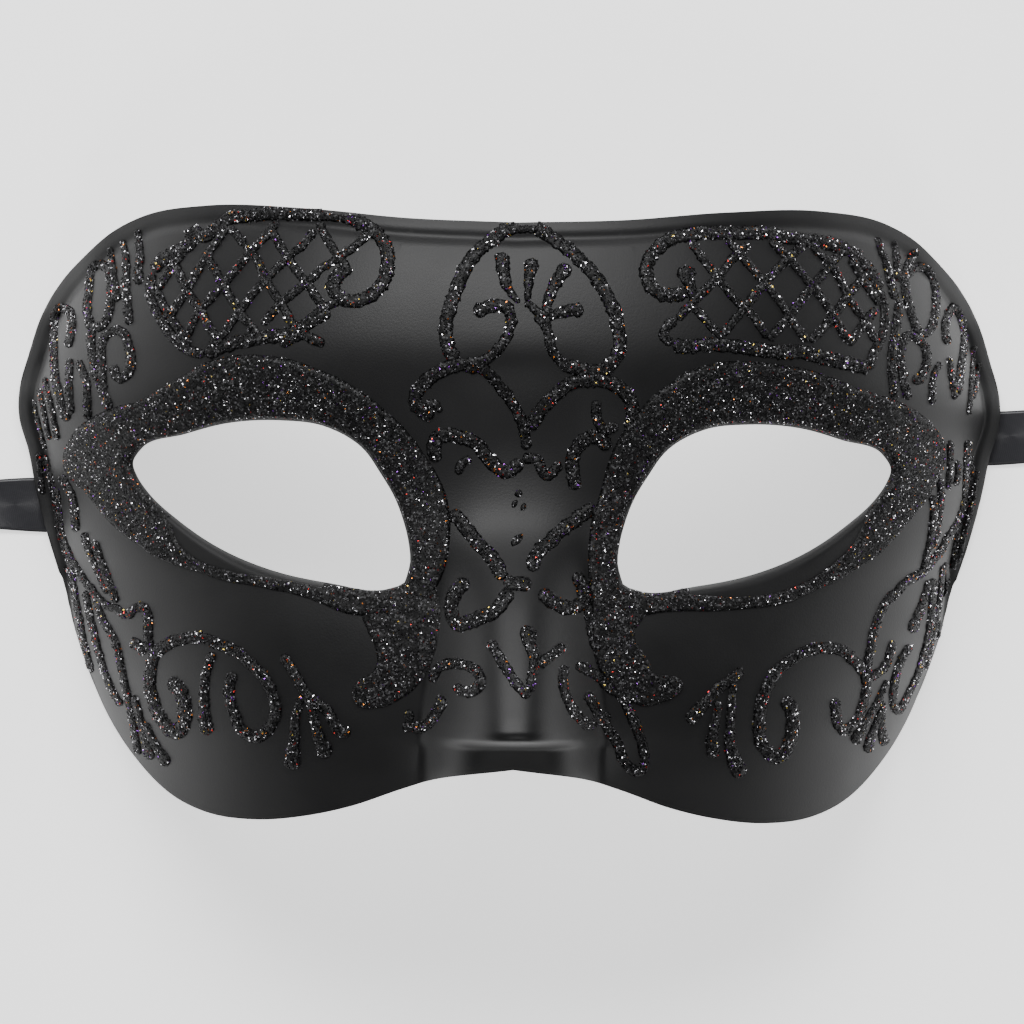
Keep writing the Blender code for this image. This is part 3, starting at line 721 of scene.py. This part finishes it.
RIGHT_BAND = (
    *((934, 488), (925, 502), (915, 515), (905, 526), (893, 540), (883, 551), (868, 562), (852, 572)),
    *((835, 582), (820, 588), (805, 595), (790, 602), (770, 606), (750, 608), (730, 610), (705, 611)),
    *((680, 611), (655, 613), (630, 617), (608, 615), (594, 603), (589, 585), (588, 562), (589, 540)),
    *((592, 518), (598, 500), (603, 482), (609, 460), (622, 433), (640, 410), (650, 398), (660, 390)),
    *((672, 382), (685, 372), (700, 367), (720, 362), (740, 361), (765, 363), (790, 366), (810, 370)),
    *((830, 377), (850, 385), (870, 392), (895, 400), (918, 412), (935, 427), (945, 445), (944, 468)),
)
RIGHT_BARE = ((868, 512), (852, 546), (835, 562), (805, 582), (770, 594), (730, 597), (688, 594))
LEFT_TAIL = ((398, 598, 80), (403, 622, 74), (405, 645, 62), (400, 668, 50), (385, 686, 38), (368, 693, 32), (352, 696, 24))
RIGHT_TAIL = ((619, 604, 60), (613, 628, 44), (615, 648, 44), (627, 670, 46), (645, 688, 36), (664, 688, 26), (683, 683, 14))


def add_band(mesh, outline, bare, side):
    """A low layer of glue between its outer line and the eye's edge, or the line alone where it is bare."""
    middle = eye_middle * (side, 1)
    angle = np.linspace(-math.pi, math.pi, BAND_STATIONS + 1)
    outer_reach = reach_round(dense(places_of(outline), closed=True), middle, angle)
    eye_reach = reach_round(eye_line * (side, 1), middle, angle) + SOLID_START
    bare_line = dense(places_of(bare)) - middle
    bare_turn = np.unwrap(np.arctan2(bare_line[:, 1], bare_line[:, 0]))
    bare_turn = bare_turn - 2 * math.pi * (bare_turn > math.pi) + 2 * math.pi * (bare_turn < -math.pi)
    order = np.argsort(bare_turn)
    bare_reach = np.interp(
        angle, bare_turn[order], np.hypot(bare_line[:, 0], bare_line[:, 1])[order], left=0, right=0
    )
    inner_reach = np.minimum(np.maximum(eye_reach, bare_reach), outer_reach - 0.0010)
    rows = []
    for k in range(2 * BAND_COLUMNS + 1):
        across = k / BAND_COLUMNS
        under = across > 1
        share = 2 - across if under else across
        reach = inner_reach + (outer_reach - inner_reach) * share
        from_edge = np.minimum(reach - inner_reach, outer_reach - reach)
        crown = np.sqrt(np.clip(1 - (1 - np.minimum(from_edge / BAND_ROUND, 1)) ** 2, 0, 1))
        row = []
        lumps = 1 + 0.18 * np.sin(reach * 2100 + 9 * np.sin(3 * angle)) * np.cos(17 * angle + reach * 900)
        for (x, y), top in zip(middle + outward(angle) * reach[:, None], crown * lumps):
            hit, normal = on_shell(x, y)
            row.append(hit + normal * (-BEAD_SINK if under else BAND_RISE * top))
        rows.append(row)
    add_grid(mesh, rows)


def add_tail(mesh, pixels, seed):
    """A broad stroke with its own width at each pixel."""
    line = dense(places_of(pixels))
    line = along(line, np.linspace(0, 1, 60))
    forward = np.gradient(line[:, :2], axis=0)
    forward /= np.linalg.norm(forward, axis=1)[:, None]
    across = np.stack([forward[:, 1], -forward[:, 0]], axis=1)
    width = line[:, 2] * PIXEL
    from_end = travelled(line)[-1] - travelled(line)
    width = width * np.sqrt(np.clip(1 - (1 - np.minimum(from_end / (width / 2), 1)) ** 2, 0, 1))
    rows = []
    for k in range(2 * BAND_COLUMNS + 1):
        under = k > BAND_COLUMNS
        share = (2 * BAND_COLUMNS - k if under else k) / BAND_COLUMNS - 0.5
        from_edge = (0.5 - abs(share)) * width
        crown = np.sqrt(np.clip(1 - (1 - np.minimum(from_edge / BAND_ROUND, 1)) ** 2, 0, 1))
        lumps = 1 + 0.18 * np.sin(9 * share + seed) * np.cos(np.linspace(0, 40, len(line)))
        row = []
        for (x, y), top in zip(line[:, :2] + across * (share * width)[:, None], crown * lumps):
            hit, normal = on_shell(x, y)
            row.append(hit + normal * (-BEAD_SINK if under else BAND_RISE * top))
        rows.append(row)
    add_grid(mesh, rows)


for name, outline, bare, tail, side, replaced in (
    ("eye_glitter_left", LEFT_BAND, LEFT_BARE, LEFT_TAIL, -1, ("eye_band_left", "band_tail_left")),
    ("eye_glitter_right", RIGHT_BAND, RIGHT_BARE, RIGHT_TAIL, 1, ("eye_band_right", "band_tail_right")),
):
    band_mesh = bmesh.new()
    add_band(band_mesh, outline, bare, side)
    add_tail(band_mesh, tail, seed=side)
    finish_glitter(name, band_mesh, replaced, flake_size=BAND_FLAKE, per_mm2=BAND_FLAKES_PER_MM2)

# The crest on the brow: an egg of two arcs with plumes inside it, on a pair of scrolls.
CREST = (
    (BEAD, ((505, 229), (515, 227), (526, 226), (537, 227), (546, 231))),
    (BEAD, ((520, 228), (505, 230), (495, 238), (483, 246), (474, 256), (466, 267), (460, 280), (455, 293), (450, 308), (446, 322), (446, 337), (449, 350), (457, 361))),
    (BEAD, ((535, 228), (545, 233), (556, 241), (568, 249), (579, 259), (590, 270), (600, 284), (608, 298), (615, 314), (618, 330), (620, 345), (616, 358), (606, 368), (597, 372), (585, 370), (575, 368), (565, 364))),
    ((12, 8, 9), ((474, 314), (485, 308), (497, 305), (507, 308), (511, 320), (509, 332), (502, 344), (492, 355), (480, 362), (465, 363))),
    ((13, 9, 4), ((503, 252), (502, 262), (504, 275), (508, 287), (514, 297), (520, 303))),
    ((13, 8, 4), ((533, 258), (531, 268), (529, 280), (528, 292), (527, 302))),
    ((12, 9, 5), ((570, 265), (562, 273), (555, 284), (550, 295), (547, 305), (548, 316), (546, 327))),
    ((12, 8, 6), ((584, 311), (572, 310), (560, 313), (548, 315), (538, 312), (530, 305), (524, 303))),
    (8, ((535, 315), (545, 325), (549, 335), (551, 348), (557, 357), (565, 366), (575, 370))),
    (BEAD, ((480, 370), (463, 364), (450, 367), (437, 373), (427, 380), (419, 389), (415, 398), (418, 407), (425, 412), (432, 420))),
    ((9, 9, 8), ((478, 365), (490, 375), (500, 387), (508, 396), (515, 408), (521, 420), (525, 435), (527, 450))),
    (BEAD, ((530, 430), (537, 416), (545, 405), (553, 397), (562, 389), (572, 383), (590, 380), (608, 382), (620, 388), (628, 396), (632, 408), (632, 420), (628, 432))),
    (8, ((597, 400), (596, 412), (598, 422), (604, 430), (612, 428), (618, 424))),
    ((8, 7, 5), ((425, 412), (430, 404), (438, 406), (440, 413))),
)
CREST_NODES = ("crest_egg", "crest_arc_left", "crest_arc_right", "crest_diagonal_left", "crest_diagonal_right")
pipe("crest_glitter", CREST, CREST_NODES)

# Between the eyes: two waves under the crest, a few dots, and the cross on the bridge of the nose.
BRIDGE = (
    (BEAD, ((437, 462), (434, 450), (437, 438), (447, 435), (460, 437), (470, 440), (480, 447), (488, 458), (497, 467), (508, 472), (516, 466), (522, 460))),
    (7, ((458, 475), (462, 463), (472, 458))),
    (8, ((522, 460), (530, 458), (538, 460), (541, 470), (546, 476), (553, 472), (560, 462))),
    (BEAD, ((575, 490), (574, 478), (572, 465), (575, 452), (582, 442), (592, 437), (602, 440), (608, 450))),
    (7, ((516, 491), (519, 494), (521, 496))),
    (7, ((512, 502), (515, 504), (517, 505))),
    (7, ((521, 505), (524, 507), (526, 508))),
    (15, ((514, 537), (517, 540), (520, 543))),
    (BEAD, ((450, 511), (462, 523), (470, 533), (480, 545), (490, 555), (498, 567), (503, 580))),
    (BEAD, ((597, 507), (585, 513), (573, 522), (562, 530), (552, 540), (542, 548), (534, 560), (533, 572))),
    (BEAD, ((503, 583), (518, 584), (532, 583))),
)
pipe("bridge_glitter", BRIDGE, ("nose_cross_left", "nose_cross_right"))

# On the nose: two hooks, a forked stroke down the ridge, and the loops on its flanks.
NOSE = (
    (BEAD, ((508, 588), (506, 597), (500, 605), (492, 613), (482, 617), (470, 622), (460, 625), (453, 618), (451, 608), (453, 598), (458, 589), (468, 579))),
    (BEAD, ((540, 590), (548, 598), (558, 605), (568, 608), (578, 606), (584, 598), (583, 588), (578, 578), (575, 573))),
    ((14, 8, 7), ((526, 625), (529, 640), (533, 652), (534, 665), (532, 677), (531, 692))),
    (8, ((565, 645), (552, 655), (545, 660), (540, 668))),
    (8, ((490, 640), (495, 650), (501, 660), (508, 671), (515, 682), (522, 690), (530, 697))),
    (8, ((455, 684), (460, 690), (470, 692), (478, 688), (481, 680), (478, 673), (470, 667), (460, 664), (448, 664), (438, 668), (431, 682))),
    (8, ((440, 695), (441, 705), (437, 712), (430, 722), (420, 728), (410, 726), (402, 728))),
    (7, ((409, 709), (409, 719), (410, 726))),
    (8, ((565, 665), (563, 680), (566, 695), (572, 708), (580, 718), (590, 725), (597, 720), (595, 708), (586, 693))),
    (8, ((575, 665), (588, 670), (600, 678), (610, 688), (622, 697), (629, 711), (634, 722), (640, 737), (644, 752), (645, 762), (640, 772), (630, 768), (622, 757), (618, 745), (610, 732), (605, 722), (608, 712))),
    (8, ((588, 604), (591, 625), (596, 645), (604, 660), (611, 675), (618, 690), (628, 700))),
)
pipe("nose_glitter", NOSE)

# The lattice over each brow: a scalloped border crossed by straight lines both ways.
LATTICE_LEFT = (
    (BEAD, ((153, 272), (160, 262), (175, 252), (190, 243), (192, 232), (205, 236), (220, 225), (230, 218), (250, 216), (265, 214), (280, 213), (300, 214), (320, 214), (335, 215), (350, 218), (362, 224), (372, 230), (381, 238), (386, 248), (388, 260), (386, 275), (380, 287), (370, 296), (357, 301), (345, 300), (337, 295), (333, 287), (336, 278), (342, 273), (348, 276))),
    (7, ((245, 245), (258, 262), (265, 277), (275, 295), (283, 305), (290, 320), (297, 330))),
    (7, ((268, 228), (277, 240), (287, 257), (300, 275), (308, 284), (318, 300), (325, 308))),
    (7, ((318, 222), (328, 240), (337, 255), (345, 265), (350, 275))),
    (7, ((240, 312), (250, 298), (265, 280), (280, 265), (290, 255), (303, 245), (315, 230))),
    (7, ((262, 325), (275, 310), (285, 300), (300, 288), (310, 280), (322, 268), (335, 260), (350, 250), (362, 240), (370, 232))),
    (7, ((297, 332), (310, 320), (320, 310), (330, 305), (340, 300))),
    (7, ((223, 285), (240, 265), (252, 250), (262, 240), (270, 230), (278, 220))),
    (7, ((207, 256), (215, 270), (223, 285), (232, 300), (240, 312), (252, 328), (258, 336))),
    (7, ((187, 290), (197, 272), (207, 256), (218, 240), (228, 226))),
    (7, ((172, 258), (180, 275), (187, 290), (200, 310), (210, 328), (222, 345))),
    (7, ((200, 310), (212, 297), (223, 285))),
    (7, ((157, 290), (166, 276), (176, 262), (186, 248))),
    (7, ((157, 290), (165, 308), (178, 328), (190, 345))),
    (7, ((168, 320), (178, 304), (187, 290))),
    (7, ((185, 340), (192, 324), (200, 310))),
    (7, ((210, 345), (222, 335), (232, 322), (240, 312))),
    (7, ((228, 226), (238, 236), (245, 245))),
    (BEAD, ((330, 310), (310, 322), (285, 335), (265, 337), (250, 340), (235, 343), (220, 348), (205, 355))),
    (8, ((325, 345), (315, 340), (300, 335), (290, 340), (280, 345))),
    (8, ((153, 272), (150, 285), (152, 300), (160, 318), (172, 336), (188, 350), (205, 355))),
)
LATTICE_RIGHT = (
    (BEAD, ((690, 290), (675, 295), (660, 294), (650, 285), (646, 272), (650, 258), (660, 246), (672, 238), (688, 235), (700, 233), (720, 233), (745, 233), (765, 233), (785, 237), (805, 240), (825, 243), (840, 247), (853, 253), (865, 265), (873, 275), (880, 290))),
    ((18, 10, 6), ((685, 265), (688, 280), (692, 290), (693, 300))),
    (7, ((690, 240), (700, 255), (718, 278), (738, 302), (748, 310), (768, 338))),
    (7, ((727, 238), (738, 252), (762, 280), (782, 305), (790, 318), (808, 342))),
    (7, ((770, 240), (785, 255), (810, 283), (832, 313), (848, 342))),
    (7, ((812, 245), (838, 275), (850, 300), (868, 325), (876, 342))),
    (7, ((850, 258), (870, 290), (880, 305))),
    (7, ((692, 305), (712, 327), (722, 338))),
    (7, ((677, 320), (690, 305), (715, 280), (738, 253), (750, 243))),
    (7, ((722, 335), (745, 307), (767, 280), (792, 255), (805, 243))),
    (7, ((768, 340), (790, 315), (812, 287), (833, 262), (842, 250))),
    (7, ((810, 342), (832, 318), (850, 293), (868, 272))),
    (7, ((848, 345), (867, 320), (877, 308))),
    (BEAD, ((672, 345), (685, 347), (700, 345), (720, 345), (740, 347), (760, 350), (780, 352), (800, 352), (820, 357), (840, 362), (855, 365), (870, 370))),
    (8, ((880, 290), (884, 305), (885, 322), (880, 342), (872, 358), (870, 370))),
    (8, ((672, 345), (664, 335), (668, 325), (677, 320))),
)
pipe("lattice_glitter_left", LATTICE_LEFT)
pipe("lattice_glitter_right", LATTICE_RIGHT)

# The temples: drops hanging from the top corner, an oval on a stem, hooks and fine hatching.
TEMPLE_LEFT = (
    ((5, 7, 9), ((137, 229), (139, 245), (140, 260), (138, 272), (139, 285))),
    ((5, 7, 9), ((121, 240), (124, 246), (126, 258), (126, 285), (127, 300), (129, 325))),
    ((5, 6, 8), ((109, 247), (112, 260), (113, 268), (114, 280), (117, 302))),
    (8, ((98, 262), (92, 270), (89, 290), (87, 310), (93, 327), (103, 325), (108, 315), (111, 300), (111, 285), (108, 270), (98, 262))),
    (8, ((91, 330), (91, 345), (93, 360), (96, 375), (100, 385), (107, 402), (110, 410))),
    (8, ((103, 395), (102, 365), (103, 340), (108, 333), (116, 330), (124, 334), (128, 345), (131, 360), (128, 374), (122, 378), (117, 377), (114, 372), (117, 365))),
    (8, ((68, 348), (72, 322), (70, 312), (65, 309), (58, 309), (55, 318), (54, 345), (55, 375), (59, 395), (65, 415), (70, 420))),
    (7, ((70, 358), (69, 385), (71, 415))),
    (7, ((78, 360), (82, 370), (86, 380), (87, 395), (88, 420))),
    (5, ((45, 377), (47, 390), (51, 405), (58, 440))),
    (4, ((40, 388), (43, 405), (50, 440))),
    (4, ((34, 400), (37, 415), (46, 450))),
)
TEMPLE_RIGHT = (
    ((5, 7, 9), ((877, 237), (881, 250), (886, 262), (889, 275), (896, 300))),
    ((5, 7, 8), ((895, 240), (896, 255), (899, 282))),
    ((5, 7, 8), ((918, 250), (911, 258), (907, 268), (903, 280))),
    (8, ((905, 275), (915, 268), (925, 268), (931, 275), (935, 290), (936, 305), (934, 320), (928, 332), (920, 333), (915, 325), (911, 312), (905, 288), (905, 275))),
    (8, ((900, 300), (897, 320), (894, 340), (892, 360), (895, 400))),
    (8, ((912, 378), (918, 380), (924, 372), (927, 358), (924, 345), (917, 338), (908, 336), (903, 343), (901, 355), (902, 370), (908, 400))),
    (8, ((948, 345), (945, 330), (948, 315), (954, 308), (960, 316), (963, 330), (962, 360), (957, 395))),
    (6, ((949, 357), (953, 385), (955, 400))),
    (6, ((941, 362), (934, 375), (932, 405))),
    (4, ((975, 345), (971, 380), (968, 415))),
    (4, ((980, 362), (975, 390), (972, 400))),
)
pipe("temple_glitter_left", TEMPLE_LEFT)
pipe("temple_glitter_right", TEMPLE_RIGHT)

# The cheeks: a large curl with drops hanging from it, and long strokes down the side wall.
CHEEK_LEFT = (
    (8, ((60, 475), (68, 488), (73, 500), (75, 515), (76, 532))),
    (5, ((38, 452), (40, 465), (41, 480), (43, 495))),
    (7, ((44, 455), (48, 470), (52, 485), (56, 502), (60, 525), (64, 545), (70, 562), (73, 580), (76, 600), (80, 620), (84, 642), (88, 657), (92, 673))),
    (7, ((56, 488), (58, 502), (62, 535), (67, 548), (72, 560), (78, 570), (84, 580), (92, 590), (100, 600), (108, 606), (115, 608), (122, 613), (127, 618))),
    (6, ((63, 568), (65, 578), (68, 588))),
    (7, ((84, 532), (87, 545), (92, 556), (98, 570), (103, 583), (108, 594))),
    (7, ((94, 540), (98, 552), (103, 566), (109, 582), (113, 592), (117, 603))),
    (7, ((86, 590), (88, 605), (91, 620), (95, 636), (99, 652), (103, 667), (108, 680), (113, 692), (118, 700), (122, 706))),
    (7, ((96, 600), (103, 620), (110, 632), (115, 641), (118, 652), (121, 665), (124, 680), (128, 697), (131, 712), (134, 728), (137, 745), (139, 755))),
    ((7, 7, 11), ((134, 695), (137, 707), (141, 721), (146, 740), (151, 760))),
    ((7, 7, 11), ((145, 722), (149, 732), (154, 742), (160, 752), (168, 766))),
    (8, ((127, 618), (135, 608), (145, 608), (148, 618), (148, 635), (150, 652))),
    ((12, 9, 8), ((130, 642), (138, 645), (145, 655))),
    ((13, 9, 9), ((168, 680), (175, 685), (181, 693), (184, 703), (185, 714), (183, 726), (177, 733), (170, 730), (163, 722), (157, 712), (153, 700), (150, 688), (150, 675), (152, 662), (155, 654), (165, 646), (178, 640), (190, 638), (202, 638), (215, 643), (228, 648), (238, 652), (246, 660), (254, 667), (262, 675), (268, 684), (273, 696), (276, 708), (274, 720), (268, 730), (258, 737), (248, 735), (240, 728), (236, 718), (231, 705), (229, 695), (230, 684), (233, 672))),
    ((7, 8, 13), ((213, 652), (208, 665), (205, 680), (204, 695), (204, 710), (205, 722), (208, 735))),
    ((8, 8, 10), ((282, 655), (288, 663), (294, 673), (300, 683), (305, 692), (312, 698), (320, 705), (328, 711), (333, 722), (340, 731), (351, 732))),
    ((6, 8, 14), ((302, 695), (298, 708), (295, 722), (294, 738), (293, 752), (292, 770))),
    ((6, 8, 13), ((305, 694), (310, 704), (313, 716), (317, 730), (322, 744), (327, 758))),
)
CHEEK_RIGHT = (
    ((12, 9, 9), ((782, 700), (790, 706), (793, 718), (792, 731), (789, 744), (784, 753), (776, 758), (768, 752), (761, 742), (759, 728), (760, 712), (763, 698), (768, 685), (776, 672), (788, 662), (800, 654), (815, 649), (830, 648), (843, 651), (853, 660), (861, 669), (866, 680), (866, 693), (863, 705), (859, 716), (853, 725), (845, 730), (838, 724), (836, 712), (836, 698))),
    ((8, 8, 12), ((742, 668), (735, 677), (726, 683), (717, 689), (711, 696), (703, 705), (695, 714), (689, 724))),
    ((6, 8, 12), ((719, 700), (717, 712), (714, 728), (712, 742), (714, 758))),
    ((6, 8, 14), ((734, 682), (732, 697), (731, 713), (730, 729), (730, 743), (733, 757), (742, 777))),
    (8, ((867, 682), (868, 662), (871, 648), (873, 635), (877, 622), (882, 610), (888, 600), (897, 592), (905, 583), (915, 577), (925, 570), (933, 560), (940, 552), (946, 540), (953, 530), (959, 518), (965, 500), (966, 480), (967, 460), (968, 440))),
    (8, ((893, 640), (891, 650), (888, 660), (882, 670), (876, 674), (868, 680))),
    (8, ((911, 645), (904, 655), (898, 668), (895, 680), (893, 692), (894, 705), (898, 711), (904, 702), (910, 690), (917, 675), (922, 660), (926, 645), (930, 625), (932, 600), (933, 578))),
    ((7, 8, 12), ((929, 580), (925, 595), (921, 608), (916, 620), (911, 633))),
    ((6, 7, 12), ((887, 680), (882, 692), (876, 705), (868, 718), (861, 730), (853, 744))),
    ((6, 7, 11), ((884, 703), (879, 716), (874, 728), (870, 740), (867, 753))),
    ((6, 7, 10), ((882, 700), (882, 715), (881, 728), (886, 745))),
    (7, ((932, 495), (934, 508), (932, 525), (930, 543), (926, 558), (924, 570))),
    (7, ((940, 478), (941, 492), (940, 506), (938, 521), (936, 536), (934, 548))),
    (6, ((950, 440), (950, 460), (949, 476), (948, 490))),
    (6, ((957, 460), (958, 474), (955, 486))),
    (5, ((970, 455), (972, 470), (971, 486), (967, 502))),
    (5, ((977, 470), (974, 487), (972, 502), (968, 518), (964, 534), (961, 548), (957, 564))),
    (6, ((960, 510), (958, 530), (955, 550), (953, 570))),
    (6, ((945, 562), (947, 577), (949, 598))),
    (5, ((953, 580), (952, 588), (950, 595))),
    (6, ((943, 565), (941, 582), (939, 600), (936, 618), (933, 636), (929, 652), (925, 670))),
    (5, ((940, 620), (939, 630), (937, 640))),
)
pipe("cheek_glitter_left", CHEEK_LEFT, ("cheek_curl_left",))
pipe("cheek_glitter_right", CHEEK_RIGHT, ("cheek_curl_right",))

# The ties: black satin ribbon 10 mm wide. One end is glued flat inside each temple and comes out
# under the arch in the side edge, and the rest lies on the table, cut off plain past the view.
RIBBON_THIN = 0.0004
RIBBON_TAB = 0.016
RIBBON_BEND = 0.004
RIBBON_REACH = 0.016
RIBBON_COLUMNS = 17
RIBBON_LAYS = (
    # side, where it leaves, how far it slants at its end, its width there, and how far it cups
    ("satin_ribbon_left", "ribbon_left", -1, RIBBON_LEAVES[0], 0.0000, 0.76, 0.0011),
    ("satin_ribbon_right", "ribbon_right", 1, RIBBON_LEAVES[1], 0.0012, 0.98, 0.0003),
)

satin, tree, shader = plain_material("black satin", (0.016, 0.016, 0.019), 0.42)
shader.inputs["Sheen Weight"].default_value = 0.15
shader.inputs["Sheen Roughness"].default_value = 0.4
shader.inputs["Anisotropic"].default_value = 0.5
weave_place = tree.nodes.new("ShaderNodeUVMap")
weave_place.uv_map = "along_ribbon"
threads = tree.nodes.new("ShaderNodeTexWave")
threads.wave_type = "BANDS"
threads.bands_direction = "X"
threads.inputs["Scale"].default_value = 1500.0
threads.inputs["Distortion"].default_value = 0.6
tree.links.new(weave_place.outputs["UV"], threads.inputs["Vector"])
crossing = tree.nodes.new("ShaderNodeTexWave")
crossing.wave_type = "BANDS"
crossing.bands_direction = "Y"
crossing.inputs["Scale"].default_value = 900.0
tree.links.new(weave_place.outputs["UV"], crossing.inputs["Vector"])
woven = tree.nodes.new("ShaderNodeMix")
woven.data_type = "FLOAT"
woven.inputs["Factor"].default_value = 0.4
tree.links.new(threads.outputs["Fac"], woven.inputs["A"])
tree.links.new(crossing.outputs["Fac"], woven.inputs["B"])
ribs = tree.nodes.new("ShaderNodeBump")
ribs.inputs["Strength"].default_value = 0.5
ribs.inputs["Distance"].default_value = 0.00003
tree.links.new(woven.outputs["Result"], ribs.inputs["Height"])
tree.links.new(ribs.outputs["Normal"], shader.inputs["Normal"])
tone = tree.nodes.new("ShaderNodeValToRGB")
tone.color_ramp.elements[0].color = (0.011, 0.011, 0.013, 1)
tone.color_ramp.elements[1].color = (0.026, 0.026, 0.031, 1)
tree.links.new(woven.outputs["Result"], tone.inputs["Fac"])
tree.links.new(tone.outputs["Color"], shader.inputs["Base Color"])

for name, node, side, leave, slant, end_width, cup in RIBBON_LAYS:
    middle = RIBBON_THICKNESS / 2
    clear = middle + 0.0003
    end_x = WIDTH / 2 + RIBBON_REACH
    columns = []
    for share in np.linspace(-0.5, 0.5, RIBBON_COLUMNS):
        y = leave + share * RIBBON_WIDTH
        column = []
        for z in np.linspace(RIBBON_TAB, middle + RIBBON_BEND, 12):
            hit, normal, _, _ = shell_tree.ray_cast(Vector((0, y, z)), Vector((side, 0, 0)))
            column.append((abs(hit.x) - clear / abs(normal.x), y, z))
        turn_x = column[-1][0] + RIBBON_BEND
        for angle in np.linspace(0, math.pi / 2, 12)[1:]:
            x = turn_x - RIBBON_BEND * math.cos(angle)
            column.append((x, y, middle + RIBBON_BEND * (1 - math.sin(angle))))
        for t in np.linspace(0, 1, 26)[1:]:
            width_now = RIBBON_WIDTH * (1 + (end_width - 1) * blend(0, 1, t))
            lift = cup * blend(0.2, 0.9, t) * (2 * abs(share)) ** 2
            sway = slant * blend(0, 1, t)
            column.append((turn_x + (end_x - turn_x) * t, leave + sway + share * width_now, middle + lift))
        columns.append([(side * x, y, z) for x, y, z in column])
    columns = np.array(columns)
    ribbon_mesh = bmesh.new()
    verts = add_grid(ribbon_mesh, columns)
    weave = ribbon_mesh.loops.layers.uv.new("along_ribbon")
    middle = columns[RIBBON_COLUMNS // 2]
    lengths = np.concatenate([[0], np.cumsum(np.linalg.norm(np.diff(middle, axis=0), axis=1))])
    for number, vert in enumerate(verts):
        for loop in vert.link_loops:
            row, station = divmod(number, columns.shape[1])
            loop[weave].uv = (row / (RIBBON_COLUMNS - 1) * RIBBON_WIDTH, lengths[station])
    bmesh.ops.recalc_face_normals(ribbon_mesh, faces=ribbon_mesh.faces)
    if sum(face.normal.z for face in ribbon_mesh.faces) < 0:
        bmesh.ops.reverse_faces(ribbon_mesh, faces=ribbon_mesh.faces)
    ribbon_data = bpy.data.meshes.new(name)
    ribbon_mesh.to_mesh(ribbon_data)
    ribbon_mesh.free()
    ribbon_data.shade_smooth()
    ribbon_data.materials.append(satin)
    ribbon = bpy.data.objects.new(name, ribbon_data)
    bpy.context.scene.collection.objects.link(ribbon)
    cloth = ribbon.modifiers.new("Cloth", "SOLIDIFY")
    cloth.thickness = RIBBON_THIN
    cloth.offset = 0
    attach(ribbon, "root")
    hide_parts(node)
